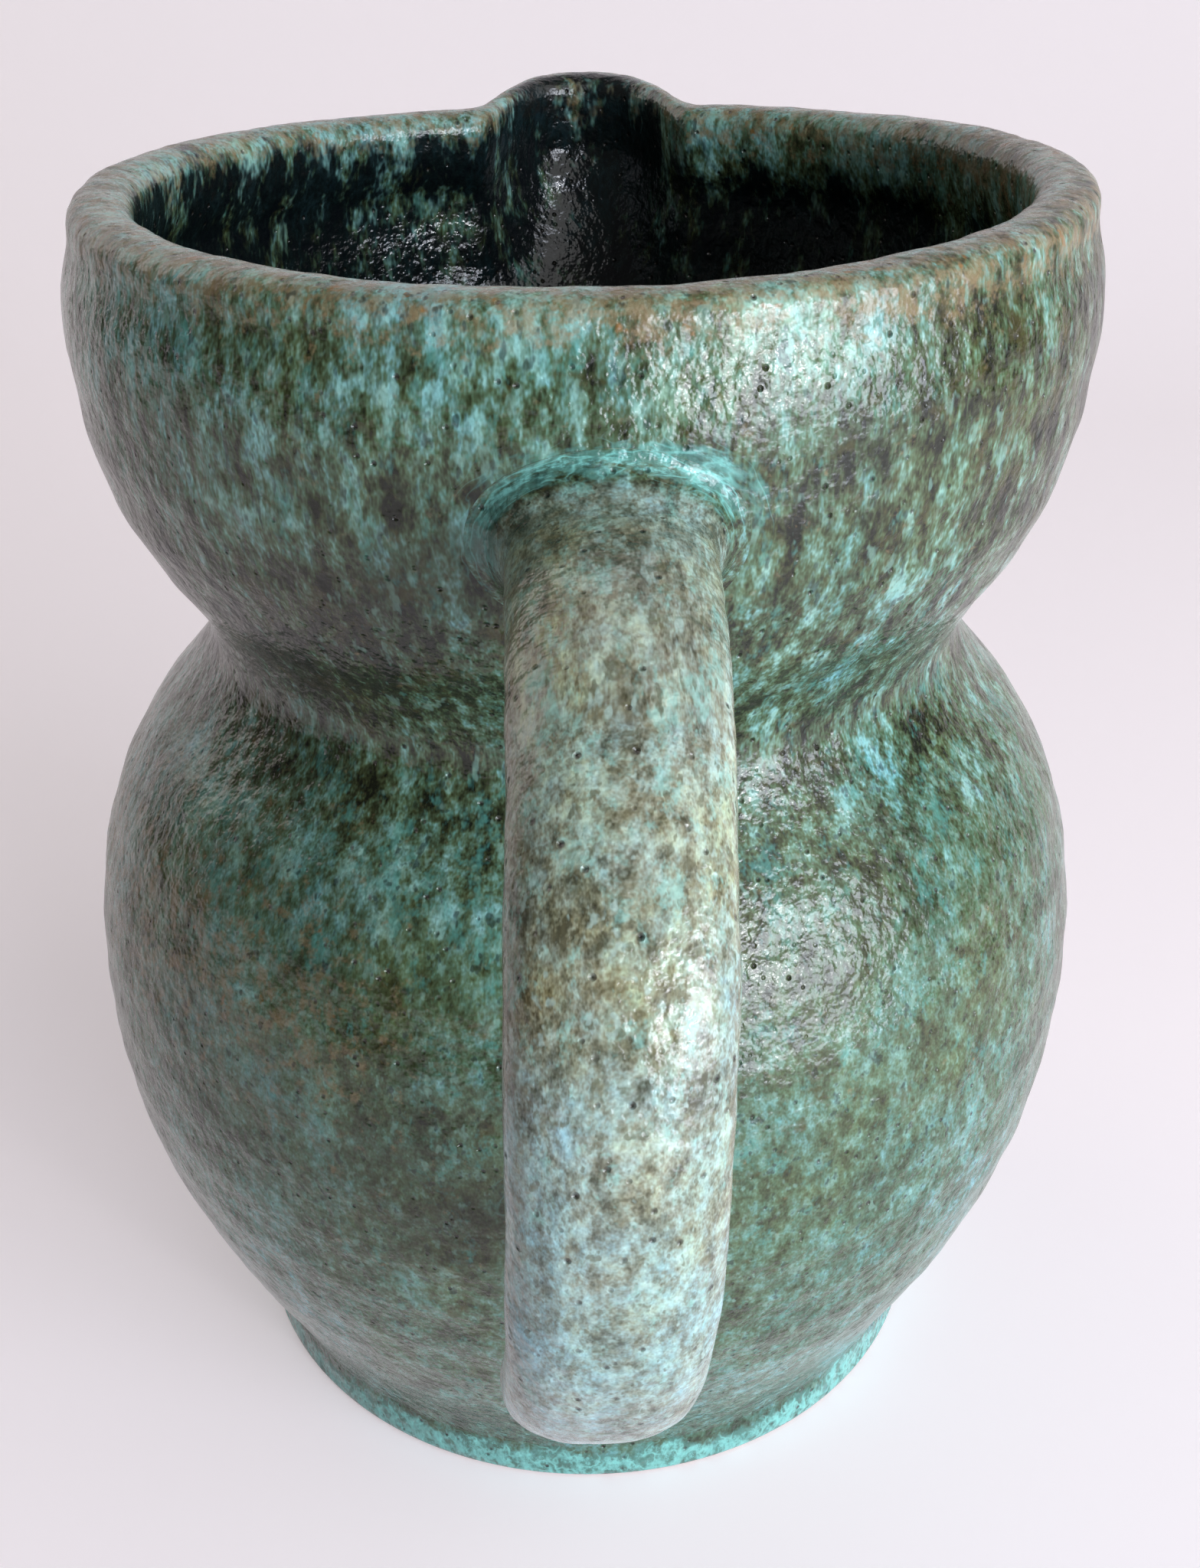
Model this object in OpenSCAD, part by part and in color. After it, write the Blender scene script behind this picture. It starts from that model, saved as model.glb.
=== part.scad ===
// Waisted stoneware jug with a beak spout and a pulled strap handle.
// Millimetres, +Z up. The origin is on the axis, in the plane the foot stands on.
// The spout points to +Y and the handle to -Y.

/* [Body] */
// Height of the rim above the table
rim_height = 180; // [176:1:184]
// Outer radius under the rolled rim
rim_radius = 65; // [64:0.5:66.5]
// Widest outer radius of the upper bowl
bowl_radius = 67; // [66.5:0.5:69]
// Height of the bowl's widest line
bowl_height = 166; // [162:1:168]
// Outer radius at the narrow waist
waist_radius = 53; // [51:0.5:55]
// Height of the waist
waist_height = 122; // [119:1:125]
// Widest outer radius of the belly
belly_radius = 73.5; // [71:0.5:76]
// Height of the belly's widest line
belly_height = 68; // [64:1:72]
// Thickness of the thrown wall
wall = 7; // [6.5:0.25:7.5]
// Thickness of the rolled rim
rim_thickness = 8; // [7.5:0.25:8.5]
// Thickness of the floor
floor_thickness = 9; // [7:0.5:11]

/* [Foot] */
// Outer radius of the foot
foot_radius = 55; // [53:0.5:57]
// Height of the foot ring
foot_height = 7; // [6:0.5:8]
// Width of the foot ring
foot_width = 11; // [10:0.5:14]
// Angle of the belly wall above the foot, from level
foot_flare = 72; // [66:1:78]

/* [Waist joint] */
// Share of each neighbouring curve that the waist coil covers
coil_share = 0.25; // [0.2:0.05:0.3]
// Depth of the waist coil in its groove
coil_depth = 2.6; // [2:0.1:3]
// Depth of the groove at the edges of the coil
coil_lip = 0.9; // [0.6:0.1:1.2]

/* [Spout] */
// How far the lip of the spout leans out past the rim
spout_reach = 16; // [12:0.5:18]
// How far the lip of the spout rises above the rim
spout_rise = 1.5; // [0:0.5:4]
// Half of the angle that the spout takes up on the rim
spout_half_angle = 17; // [16:0.5:22]

/* [Handle] */
// Width of the strap half way down
strap_width = 19.4; // [17:0.2:22]
// Thickness of the strap
strap_thickness = 13; // [11:0.5:14]
// Extra width of the strap where it leaves the bowl
strap_flare = 3; // [0:0.2:4]
// Height of the upper root on the bowl
handle_top = 155; // [152:1:157]
// Height of the lower root on the belly
handle_bottom = 69; // [67:1:74]
// Distance of the strap's middle line from the axis
handle_reach = 122.5; // [117:0.5:128]
// Turn of the handle off the line of the spout
handle_turn = 1.5; // [-3:0.5:3]
// Sideways drift of the strap on its way down
strap_drift = 5.6; // [0:0.2:7]
// Sideways return of the strap to its lower root
strap_return = 6.5; // [0:0.5:8]
// Size of the clay fillet round the upper root
upper_fillet = 4.5; // [3:0.5:6]
// Size of the clay fillet round the lower root
lower_fillet = 3; // [2:0.5:4]

/* [Hidden] */

$fn = 96;
clay = [0.44, 0.48, 0.42];
pale_clay = [0.58, 0.62, 0.57];
pool_clay = [0.42, 0.56, 0.54];

// Steps along each curve
wall_steps = 16;
rim_steps = 6;
roll_steps = 10;
spout_steps = 28;
strap_steps = 34;
root_steps = 9;
section_steps = 32;

// Where the rolled rim begins, and its outline
roll_height = 3.4;
roll_power = 2.5;
roll_base = rim_height - roll_height;

// Ring tongue under the belly, and the V tongue in the waist joint
tongue_depth = 1.6;
tongue_width = 4;
tongue_radius = foot_radius - foot_width / 2;
vee_width = 2.4;
vee_depth = 1.4;

// Rounded lower edges of the foot
foot_round = 1.4;

// First step of the bowl's wall that belongs to the spout
notch_step = 5;

// Curves

function bezier(p, t) =
  pow(1 - t, 3) * p[0] + 3 * t * pow(1 - t, 2) * p[1] + 3 * t * t * (1 - t) * p[2] + pow(t, 3) * p[3];

function bezier_slope(p, t) =
  3 * pow(1 - t, 2) * (p[1] - p[0]) + 6 * t * (1 - t) * (p[2] - p[1]) + 3 * t * t * (p[3] - p[2]);

function bezier_points(p, n, from = 0, to = 1) =
  [for (i = [0 : n]) bezier(p, from + (to - from) * i / n)];

function unit(v) = v / norm(v);

function left_of(v) = [-v.y, v.x];

// Points of a curve, each moved to the left of its travel by the wall's thickness there
function inner_points(p, n, from = 0, to = 1) = [
  for (i = [0 : n])
    let (t = from + (to - from) * i / n, q = bezier(p, t))
      q + wall_at(q.y) * left_of(unit(bezier_slope(p, t)))
];

function smooth(u) = let (c = max(0, min(1, u))) c * c * (3 - 2 * c);

function wall_at(z) = wall + (rim_thickness - wall) * smooth((z - bowl_height) / (roll_base - bowl_height));

function tail(list, from) = [for (i = [from : len(list) - 1]) list[i]];

function reversed(list) = [for (i = [len(list) - 1 : -1 : 0]) list[i]];

// Outer line of the body, radius and height, in four stretches

foot_top = [foot_radius, foot_height];
belly_point = [belly_radius, belly_height];
waist_point = [waist_radius, waist_height];
bowl_point = [bowl_radius, bowl_height];
rim_point = [rim_radius, roll_base];

lower_rise = belly_height - foot_height;
shoulder_rise = waist_height - belly_height;
bowl_rise = bowl_height - waist_height;
rim_rise = roll_base - bowl_height;

lower_curve = [
  foot_top,
  foot_top + 0.18 * lower_rise * [cos(foot_flare), sin(foot_flare)],
  belly_point - [0, 0.505 * lower_rise],
  belly_point
];
shoulder_curve = [
  belly_point,
  belly_point + [0, 0.73 * shoulder_rise],
  waist_point - [0, 0.2 * shoulder_rise],
  waist_point
];
bowl_curve = [
  waist_point,
  waist_point + [0, 0.2 * bowl_rise],
  bowl_point - [0, 0.68 * bowl_rise],
  bowl_point
];
rim_curve = [
  bowl_point,
  bowl_point + [0, 0.5 * rim_rise],
  rim_point - [0, 0.4 * rim_rise],
  rim_point
];

lower_outer = bezier_points(lower_curve, wall_steps);
shoulder_outer = bezier_points(shoulder_curve, wall_steps, 0, 1 - coil_share);
waist_outer = concat(
  bezier_points(shoulder_curve, rim_steps, 1 - coil_share, 1),
  tail(bezier_points(bowl_curve, rim_steps, 0, coil_share), 1)
);
bowl_outer = concat(
  bezier_points(bowl_curve, wall_steps, coil_share, 1),
  tail(bezier_points(rim_curve, rim_steps), 1)
);

bowl_inner = concat(
  inner_points(bowl_curve, wall_steps, coil_share, 1),
  tail(inner_points(rim_curve, rim_steps), 1)
);
waist_inner = concat(
  inner_points(shoulder_curve, rim_steps, 1 - coil_share, 1),
  tail(inner_points(bowl_curve, rim_steps, 0, coil_share), 1)
);
shoulder_inner = inner_points(shoulder_curve, wall_steps, 0, 1 - coil_share);
lower_inner = inner_points(lower_curve, wall_steps, 0.4, 1);

// The rolled rim, from its outer foot over the crest to its inner foot
rim_roll = [
  for (i = [1 : roll_steps])
    let (a = 180 * i / (roll_steps + 1), c = cos(a), s = sin(a))
      [
        rim_radius - rim_thickness / 2 + sign(c) * rim_thickness / 2 * pow(abs(c), 2 / roll_power),
        roll_base + roll_height * pow(s, 2 / roll_power)
      ]
];

// The soft corner between the inner wall and the floor
floor_top = foot_height + floor_thickness;
corner = lower_inner[0];
floor_corner = bezier_points(
  [[corner.x - 20, floor_top], [corner.x - 8, floor_top], corner - [3, 7], corner], rim_steps
);

// The groove of the waist coil and the joint behind it
groove_low = waist_outer[0] + coil_lip * left_of(unit(bezier_slope(shoulder_curve, 1 - coil_share)));
groove_high = waist_outer[2 * rim_steps] + coil_lip * left_of(unit(bezier_slope(bowl_curve, coil_share)));
groove_deep = waist_point - [coil_depth, 0];
joint_middle = waist_radius - (wall + coil_depth) / 2;
joint_line = [
  groove_deep,
  [joint_middle + vee_width / 2, waist_height],
  [joint_middle, waist_height - vee_depth],
  [joint_middle - vee_width / 2, waist_height]
];

// The whole body as one filled outline, to cut the handle's roots to the wall
body_outline = concat(
  [[0, 0], [foot_radius, 0]],
  lower_outer,
  tail(shoulder_outer, 1),
  tail(waist_outer, 1),
  tail(bowl_outer, 1),
  [[0, roll_base]]
);

// Body of revolution

module foot_ring() {
  inner = foot_radius - foot_width;
  color(pool_clay)
    rotate_extrude()
      polygon(concat(
        [for (i = [0 : 4]) let (a = 180 + 90 * i / 4) [inner, 0] + foot_round * [1 + cos(a), 1 + sin(a)]],
        [for (i = [0 : 4]) let (a = 270 + 90 * i / 4)
          [foot_radius, 0] + foot_round * [cos(a) - 1, 1 + sin(a)]],
        [
          foot_top,
          [tongue_radius + tongue_width / 2, foot_height],
          [tongue_radius + tongue_width / 2, foot_height + tongue_depth],
          [tongue_radius - tongue_width / 2, foot_height + tongue_depth],
          [tongue_radius - tongue_width / 2, foot_height],
          [inner, foot_height]
        ]
      ));
}

module belly() {
  color(clay)
    rotate_extrude()
      polygon(concat(
        [
          [0, foot_height],
          [tongue_radius - tongue_width / 2, foot_height],
          [tongue_radius - tongue_width / 2, foot_height + tongue_depth],
          [tongue_radius + tongue_width / 2, foot_height + tongue_depth],
          [tongue_radius + tongue_width / 2, foot_height]
        ],
        lower_outer,
        tail(shoulder_outer, 1),
        [groove_low],
        joint_line,
        reversed([for (i = [1 : rim_steps]) waist_inner[i]]),
        reversed(shoulder_inner),
        reversed([for (i = [1 : wall_steps - 1]) lower_inner[i]]),
        reversed(floor_corner),
        [[0, floor_top]]
      ));
}

module waist_coil() {
  color(pool_clay)
    rotate_extrude()
      polygon(concat([groove_deep, groove_low], waist_outer, [groove_high]));
}

module bowl() {
  color(clay)
    difference() {
      rotate_extrude()
        polygon(concat(
          reversed(joint_line),
          [groove_high],
          bowl_outer,
          rim_roll,
          reversed(bowl_inner),
          reversed([for (i = [rim_steps : 2 * rim_steps - 1]) waist_inner[i]])
        ));
      rotate([0, 0, 90 - spout_half_angle])
        rotate_extrude(angle = 2 * spout_half_angle)
          polygon(concat(notch_mitre, [[20, rim_height + 20], [120, rim_height + 20]]));
    }
}

// Spout

// The lower edge of the notch is square to the wall, and runs on past both of its faces
notch_across = unit(bowl_outer[notch_step] - bowl_inner[notch_step]);
notch_mitre = [
  bowl_outer[notch_step] + 30 * notch_across,
  bowl_inner[notch_step] - 20 * notch_across
];

// Wall section of the spout as one loop, each point with its share of the way up
top_step = len(bowl_outer) - 1;
spout_loop = concat(
  [for (i = [notch_step : top_step]) concat(bowl_outer[i], (i - notch_step) / (top_step - notch_step))],
  [for (p = rim_roll) concat(p, 1)],
  [for (i = [top_step : -1 : notch_step]) concat(bowl_inner[i], (i - notch_step) / (top_step - notch_step))]
);
loop_size = len(spout_loop);

function spout_bell(share) = pow(cos(90 * pow(abs(share), 1.35)), 2);

function spout_point(p, share) =
  let (
    bell = abs(share) > 0.999 ? 0 : spout_bell(share),
    r = p[0] + spout_reach * bell * smooth(p[2]),
    a = 90 - spout_half_angle * share
  )
  [r * cos(a), r * sin(a), p[1] + spout_rise * bell * smooth(p[2] * 2 - 1)];

module spout() {
  points = [
    for (s = [0 : spout_steps], p = spout_loop) spout_point(p, 2 * s / spout_steps - 1)
  ];
  last = spout_steps * loop_size;
  sides = [
    for (s = [0 : spout_steps - 1], i = [0 : loop_size - 1])
      let (j = (i + 1) % loop_size, a = s * loop_size, b = a + loop_size)
        each [[a + i, b + j, a + j], [a + i, b + i, b + j]]
  ];
  caps = [
    for (i = [0 : loop_size / 2 - 2])
      let (j = loop_size - 1 - i)
        each [
          [i, i + 1, j], [i + 1, j - 1, j],
          [last + i, last + j, last + i + 1], [last + i + 1, last + j, last + j - 1]
        ]
  ];
  color(clay)
    polyhedron(points, concat(sides, caps));
}

// Handle

// Middle line of the strap, distance from the axis and height, in two stretches
handle_middle = 115;
strap_upper = [
  [58, handle_top - 1],
  [92, handle_top + 4],
  [handle_reach, handle_middle + 32],
  [handle_reach, handle_middle]
];
strap_lower = [
  [handle_reach, handle_middle],
  [handle_reach, handle_middle - 31],
  [104, handle_bottom + 1],
  [64, handle_bottom]
];

function strap_line(s) = s < 1 ? bezier(strap_upper, s) : bezier(strap_lower, s - 1);

function strap_slope(s) = unit(s < 1 ? bezier_slope(strap_upper, s) : bezier_slope(strap_lower, s - 1));

// Places of the section along the strap, closer together under the root coils
upper_places = [for (i = [0 : root_steps]) 0.02 + 0.15 * i / root_steps];
lower_places = [for (i = [0 : root_steps]) 1.83 + 0.14 * i / root_steps];
strap_places = concat(
  [0],
  upper_places,
  [for (i = [1 : strap_steps - 1]) 0.17 + 1.66 * i / strap_steps],
  lower_places,
  [2]
);

function strap_shift(s) = strap_drift * (0.125 - pow(s / 2, 2)) + strap_return * smooth((s - 1.4) / 0.6);

function strap_half_width(s) = strap_width / 2 + strap_flare / 2 * pow(1 - s / 2, 4);

// Full oval section of the strap at a place on its line, grown by a margin
section_power = 2.3;

function strap_ring(s, grow) =
  let (c = strap_line(s), n = left_of(strap_slope(s)))
    [
      for (i = [0 : section_steps - 1])
        let (
          a = 360 * i / section_steps,
          x = sign(cos(a)) * pow(abs(cos(a)), 2 / section_power) * (strap_half_width(s) + grow),
          d = sign(sin(a)) * pow(abs(sin(a)), 2 / section_power) * (strap_thickness / 2 + grow),
          p = c + d * n
        )
          [x + strap_shift(s), -p.x, p.y]
    ];

module tube_skin(rings, hollow) {
  m = section_steps;
  count = len(rings);
  points = [for (ring = rings) each ring];
  ends = hollow ? [] : [[for (i = [0 : m - 1]) i], [for (i = [m - 1 : -1 : 0]) (count - 1) * m + i]];
  sides = [
    for (r = [0 : hollow ? count - 1 : count - 2], i = [0 : m - 1])
      let (j = (i + 1) % m, a = r * m, b = ((r + 1) % count) * m)
        each [[a + i, b + i, a + j], [a + j, b + i, b + j]]
  ];
  polyhedron(points, concat(sides, ends));
}

module body_solid() {
  rotate_extrude() polygon(body_outline);
}

module handle() {
  color(pale_clay)
    rotate([0, 0, handle_turn])
      difference() {
        tube_skin([for (s = strap_places) strap_ring(s, 0)], false);
        body_solid();
      }
}

// A fillet coil runs from inside the wall to its feather end on the strap
fillet_length = 9;
fillet_feather = 0.6;

function fillet_grow(size, off_wall) =
  fillet_feather + (
    off_wall > 0
    ? size * pow(max(0, 1 - off_wall / fillet_length), 2.2)
    : size - 0.25 * off_wall
  );

module root_coil(places, wall_radius, size) {
  grown = [for (s = places) strap_ring(s, fillet_grow(size, strap_line(s).x - wall_radius))];
  plain = [for (s = reversed(places)) strap_ring(s, 0)];
  color(pool_clay)
    rotate([0, 0, handle_turn])
      difference() {
        tube_skin(concat(grown, plain), true);
        body_solid();
      }
}

module upper_root_coil() {
  root_coil(upper_places, lookup(handle_top, [for (p = bowl_outer) [p.y, p.x]]), upper_fillet);
}

module lower_root_coil() {
  root_coil(lower_places, belly_radius, lower_fillet);
}

foot_ring();
belly();
waist_coil();
bowl();
spout();
handle();
upper_root_coil();
lower_root_coil();
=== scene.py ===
"""Waisted stoneware jug with a beak spout and a pulled strap handle, dressed in its mottled glaze.

Sizes in the classes are millimetres in the frame's axes: +Z up, the spout at +Y, the handle at -Y.
Meshes are written in metres.
"""

import logging
import math
from dataclasses import dataclass, field
from enum import Enum

import bmesh
import bpy
import numpy as np
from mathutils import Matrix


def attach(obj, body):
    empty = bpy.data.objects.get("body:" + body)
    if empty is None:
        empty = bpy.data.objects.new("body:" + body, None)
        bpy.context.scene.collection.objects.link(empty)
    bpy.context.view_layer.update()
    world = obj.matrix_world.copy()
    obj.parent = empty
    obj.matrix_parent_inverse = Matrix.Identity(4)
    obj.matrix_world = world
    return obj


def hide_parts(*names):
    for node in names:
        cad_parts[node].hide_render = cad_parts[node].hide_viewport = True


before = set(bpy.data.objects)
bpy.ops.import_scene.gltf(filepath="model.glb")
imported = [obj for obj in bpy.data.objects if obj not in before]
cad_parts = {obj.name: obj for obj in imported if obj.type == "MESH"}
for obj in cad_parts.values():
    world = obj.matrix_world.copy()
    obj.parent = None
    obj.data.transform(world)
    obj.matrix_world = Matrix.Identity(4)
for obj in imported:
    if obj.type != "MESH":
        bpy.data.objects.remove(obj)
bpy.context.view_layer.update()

MM = 0.001
FULL_TURN = 2 * math.pi
CREASE_DEGREES = 55.0
GLASSY_IOR = 1.5
Array = np.ndarray
Socket = bpy.types.NodeSocket
Tree = bpy.types.NodeTree
log = logging.getLogger("jug")


class Mark(str, Enum):
    """What the glaze did at a point, and where shade or light is painted into its colour, about 0 to 1,
    kept with each point of a mesh.
    """

    # Pooled glaze; taken below 0 at the waist's left it is painted shade.
    POOL_AND_SHADE = "pool_and_shade"
    THIN = "thin"
    # A darker lining glaze inside, deepened with painted shade down in the jug and up the spout's channel.
    LINER_AND_SHADE = "liner_and_shade"
    STRAP = "strap"
    GATHER = "gather"
    # Bluer colour: the glaze's own in places, painted cool light low on the right and on the strap's lower
    # end.
    COOL = "cool"
    SETTLED = "settled"


class Lie(str, Enum):
    """How a pattern lies on the clay: drawn out by the run of the glaze, along a corner, or evenly."""

    RUN = "run_place"
    CORNER = "corner_place"
    EVEN = "even"


class Finish(Enum):
    """Which of a piece's finishes a face has."""

    GLAZED = 0
    BARE = 1


class Slot(str, Enum):
    """The record's material slots."""

    FOOT = "glazed_foot"
    BODY = "glazed_body"
    HANDLE = "glazed_handle"


def smooth(value: Array | float) -> Array:
    """Ease from 0 to 1 with level ends."""
    held = np.clip(value, 0.0, 1.0)
    return held * held * (3.0 - 2.0 * held)


def bezier(points: Array, t: Array) -> Array:
    """Points on a cubic curve.

    Args:
        points: The four control points, shape (4, 2), or four rings of them.
        t: Places along the curve, from 0 to 1.

    Returns:
        One point for each place.
    """
    s = 1.0 - t
    weights = np.stack([s**3, 3 * t * s**2, 3 * t**2 * s, t**3], axis=-1)
    return np.tensordot(weights, points, axes=1)


def right_normals(points: Array) -> Array:
    """Unit normals to the right of travel.

    Args:
        points: A flat line of points, shape (count, 2).

    Returns:
        One normal for each point.
    """
    travel = np.gradient(points, axis=0)
    normals = np.stack([travel[:, 1], -travel[:, 0]], axis=-1)
    return normals / np.linalg.norm(normals, axis=-1, keepdims=True)


def shortened(points: Array, share: float) -> Array:
    """Points with shortened heights, so that a pattern drawn in them runs long down the wall."""
    return points * np.array([1.0, 1.0, share])


def signed_power(value: Array, power: float) -> Array:
    """Raise the size of values to a power and keep their signs, which squares off a circle."""
    return np.sign(value) * np.abs(value) ** power


@dataclass(frozen=True)
class Ease:
    """A change from 0 to 1 along a measure: where it begins and how far it goes on, down if negative."""

    begin: float
    length: float

    def at(self, value: Array) -> Array:
        """How far the change has come at some values of the measure."""
        return smooth((value - self.begin) / self.length)


@dataclass(frozen=True)
class Bell:
    """A bell of height 1 along a measure: its middle, and the width where it is down to about a third."""

    middle: float
    width: float

    def at(self, value: Array) -> Array:
        """Height of the bell at some values of the measure."""
        return np.exp(-np.square((value - self.middle) / self.width))


@dataclass(frozen=True)
class Patch:
    """A patch of glaze, or of painted shade or light: its strength, how it goes with height, and with x
    unless it goes all round.
    """

    strength: float
    height: Ease | Bell
    across: Ease | Bell | None = None

    def at(self, height: Array, across: Array | None = None) -> Array:
        """Strength of the patch at some heights and, unless it goes all round, some values of x."""
        share = self.strength * self.height.at(height)
        return share if self.across is None else share * self.across.at(across)


class ClayNoise:
    """Seeded smooth noise in space, for the unevenness of thrown clay and melted glaze."""

    cells = 256
    gain = 1.6

    def __init__(self, seed: int) -> None:
        """Draw the tables of gradients.

        Args:
            seed: Number that fixes the noise.
        """
        rng = np.random.default_rng(seed)
        self.order = rng.permutation(self.cells)
        gradients = rng.normal(size=(self.cells, 3))
        self.gradients = gradients / np.linalg.norm(gradients, axis=1, keepdims=True)

    def at(self, points: Array, size: float) -> Array:
        """Noise of about -1 to 1 at some points.

        Args:
            points: Places in millimetres, the last axis being x, y and z.
            size: Distance in millimetres from one swelling to the next.

        Returns:
            One value for each point.
        """
        scaled = points / size
        cell = np.floor(scaled).astype(int)
        inside = scaled - cell
        ease = inside**3 * (inside * (inside * 6 - 15) + 10)
        total = np.zeros(points.shape[:-1])
        for corner in np.ndindex(2, 2, 2):
            place = (cell + corner) % self.cells
            drawn = self.order[place[..., 0]]
            drawn = self.order[(drawn + place[..., 1]) % self.cells]
            drawn = self.order[(drawn + place[..., 2]) % self.cells]
            slope = np.sum(self.gradients[drawn] * (inside - corner), axis=-1)
            share = np.where(np.array(corner) == 1, ease, 1 - ease).prod(axis=-1)
            total += slope * share
        return self.gain * total


THROWN = ClayNoise(11)
MELTED = ClayNoise(23)


@dataclass(frozen=True)
class Swell:
    """Smooth unevenness: its height and size in millimetres, and a shift that sets it apart."""

    height: float
    size: float
    shift: float = 0.0

    def at(self, noise: ClayNoise, points: Array) -> Array:
        """Height of the unevenness at some points."""
        return self.height * noise.at(points + self.shift, self.size)


GLAZE_SWELL = Swell(0.16, 13.0)
GLAZE_RUNS = (Swell(0.13, 5.0, 71.0), Swell(0.08, 2.4, 143.0))
GLAZE_RUN_SHARE = 0.6


def glaze_relief(points: Array) -> Array:
    """Height of the melted glaze's uneven skin, in millimetres, at points in space."""
    run = shortened(points, GLAZE_RUN_SHARE)
    return GLAZE_SWELL.at(MELTED, points) + sum(swell.at(MELTED, run) for swell in GLAZE_RUNS)


def drawn_down(points: Array, level: float = 95.0, below: float = 0.75, above: float = 0.45) -> Array:
    """Pattern places for glaze that ran down the wall, further on the steep bowl than on the belly.

    Args:
        points: Places in millimetres.
        level: Height above which the glaze ran further.
        below: What is left of a height below the level.
        above: What is left of a height above it.

    Returns:
        Places whose heights are shortened.
    """
    height = points[..., 2]
    short = below * np.minimum(height, level) + above * np.maximum(height - level, 0.0)
    return np.stack([points[..., 0], points[..., 1], short], axis=-1)


class ClayMesh:
    """Points, faces and glaze marks of one piece, gathered before its mesh is written."""

    def __init__(self, name: str) -> None:
        """Start an empty piece.

        Args:
            name: Name of the piece.
        """
        self.name = name
        self.points: list[Array] = []
        self.marks: dict[Mark, list[Array]] = {mark: [] for mark in Mark}
        self.places: dict[Lie, list[Array]] = {Lie.RUN: [], Lie.CORNER: []}
        self.faces: list[list[int]] = []
        self.finishes: list[int] = []
        self.count = 0

    def add_points(
        self, points: Array, marks: dict[Mark, Array], places: dict[Lie, Array] | None = None
    ) -> Array:
        """Add a block of points.

        Args:
            points: Places in millimetres, the last axis being x, y and z.
            marks: Glaze marks, each of the block's shape; a missing one is 0.
            places: Pattern places in millimetres; a missing one is the point itself, drawn down.

        Returns:
            The points' numbers, in the block's shape.
        """
        shape = points.shape[:-1]
        size = int(np.prod(shape))
        self.points.append(points.reshape(size, 3))
        for mark in Mark:
            values = marks.get(mark, np.zeros(shape))
            self.marks[mark].append(np.broadcast_to(values, shape).reshape(size))
        for lie in self.places:
            values = (places or {}).get(lie, drawn_down(points))
            self.places[lie].append(values.reshape(size, 3))
        numbers = np.arange(self.count, self.count + size).reshape(shape)
        self.count += size
        return numbers

    def add_faces(self, corners: Array, finish: Finish) -> None:
        """Add faces that share a finish.

        Args:
            corners: Point numbers, one row for each face.
            finish: The faces' finish.
        """
        rows = corners.reshape(-1, corners.shape[-1]).tolist()
        self.faces.extend(rows)
        self.finishes.extend([finish.value] * len(rows))

    def write(self) -> bpy.types.Object:
        """Make the closed mesh object.

        Returns:
            The new object, with its glaze marks and pattern places as point attributes.
        """
        mesh = bpy.data.meshes.new(self.name)
        mesh.from_pydata((np.concatenate(self.points) * MM).tolist(), [], self.faces)
        mesh.polygons.foreach_set("material_index", self.finishes)
        for mark, blocks in self.marks.items():
            layer = mesh.attributes.new(mark.value, "FLOAT", "POINT")
            layer.data.foreach_set("value", np.concatenate(blocks).astype(np.float32))
        for lie, blocks in self.places.items():
            layer = mesh.attributes.new(lie.value, "FLOAT_VECTOR", "POINT")
            layer.data.foreach_set("vector", (np.concatenate(blocks) * MM).astype(np.float32).ravel())
        work = bmesh.new()
        work.from_mesh(mesh)
        loose = [vert for vert in work.verts if not vert.link_faces]
        bmesh.ops.delete(work, geom=loose, context="VERTS")
        bmesh.ops.recalc_face_normals(work, faces=work.faces)
        work.to_mesh(mesh)
        work.free()
        mesh.shade_smooth()
        mesh.set_sharp_from_angle(angle=math.radians(CREASE_DEGREES))
        piece = bpy.data.objects.new(self.name, mesh)
        bpy.context.collection.objects.link(piece)
        return piece


def grid_cells(numbers: Array, wrap: bool = True) -> Array:
    """Four-cornered faces of a grid of point numbers.

    Args:
        numbers: Point numbers, one row for each ring of points.
        wrap: Whether each ring closes on itself.

    Returns:
        Corners of the cells, shape (rows - 1, cells in a row, 4).
    """
    after = np.roll(numbers, -1, axis=1)
    cells = np.stack([numbers[:-1], after[:-1], after[1:], numbers[1:]], axis=-1)
    return cells if wrap else cells[:, :-1]


@dataclass(frozen=True)
class Run:
    """A stretch of a piece's wall section, in its order of travel with the clay on the left."""

    points: Array
    finish: Finish = Finish.GLAZED
    relief: bool = True
    inside: bool = False
    spout_share: Array | None = None

    @classmethod
    def bare(cls, points: Array | list) -> "Run":
        """A stretch of smooth clay without glaze."""
        return cls(np.asarray(points), Finish.BARE, relief=False)

    @property
    def row_shares(self) -> Array:
        """How far up the spout's part of the wall each row is, 0 outside that part."""
        return np.zeros(len(self.points)) if self.spout_share is None else self.spout_share


@dataclass
class Section:
    """The runs of a section joined in one list of rows."""

    runs: list[Run]
    points: Array = field(init=False)
    normals: Array = field(init=False)
    relief: Array = field(init=False)
    inside: Array = field(init=False)
    spout_share: Array = field(init=False)
    finishes: list[Finish] = field(init=False)

    def __post_init__(self) -> None:
        """Join the runs."""
        counts = [len(run.points) for run in self.runs]
        self.points = np.concatenate([run.points for run in self.runs])
        self.normals = np.concatenate([right_normals(run.points) for run in self.runs])
        self.relief = np.repeat([float(run.relief) for run in self.runs], counts)
        self.inside = np.repeat([run.inside for run in self.runs], counts)
        self.spout_share = np.concatenate([run.row_shares for run in self.runs])
        self.finishes = [run.finish for run in self.runs for _ in run.points]


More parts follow.
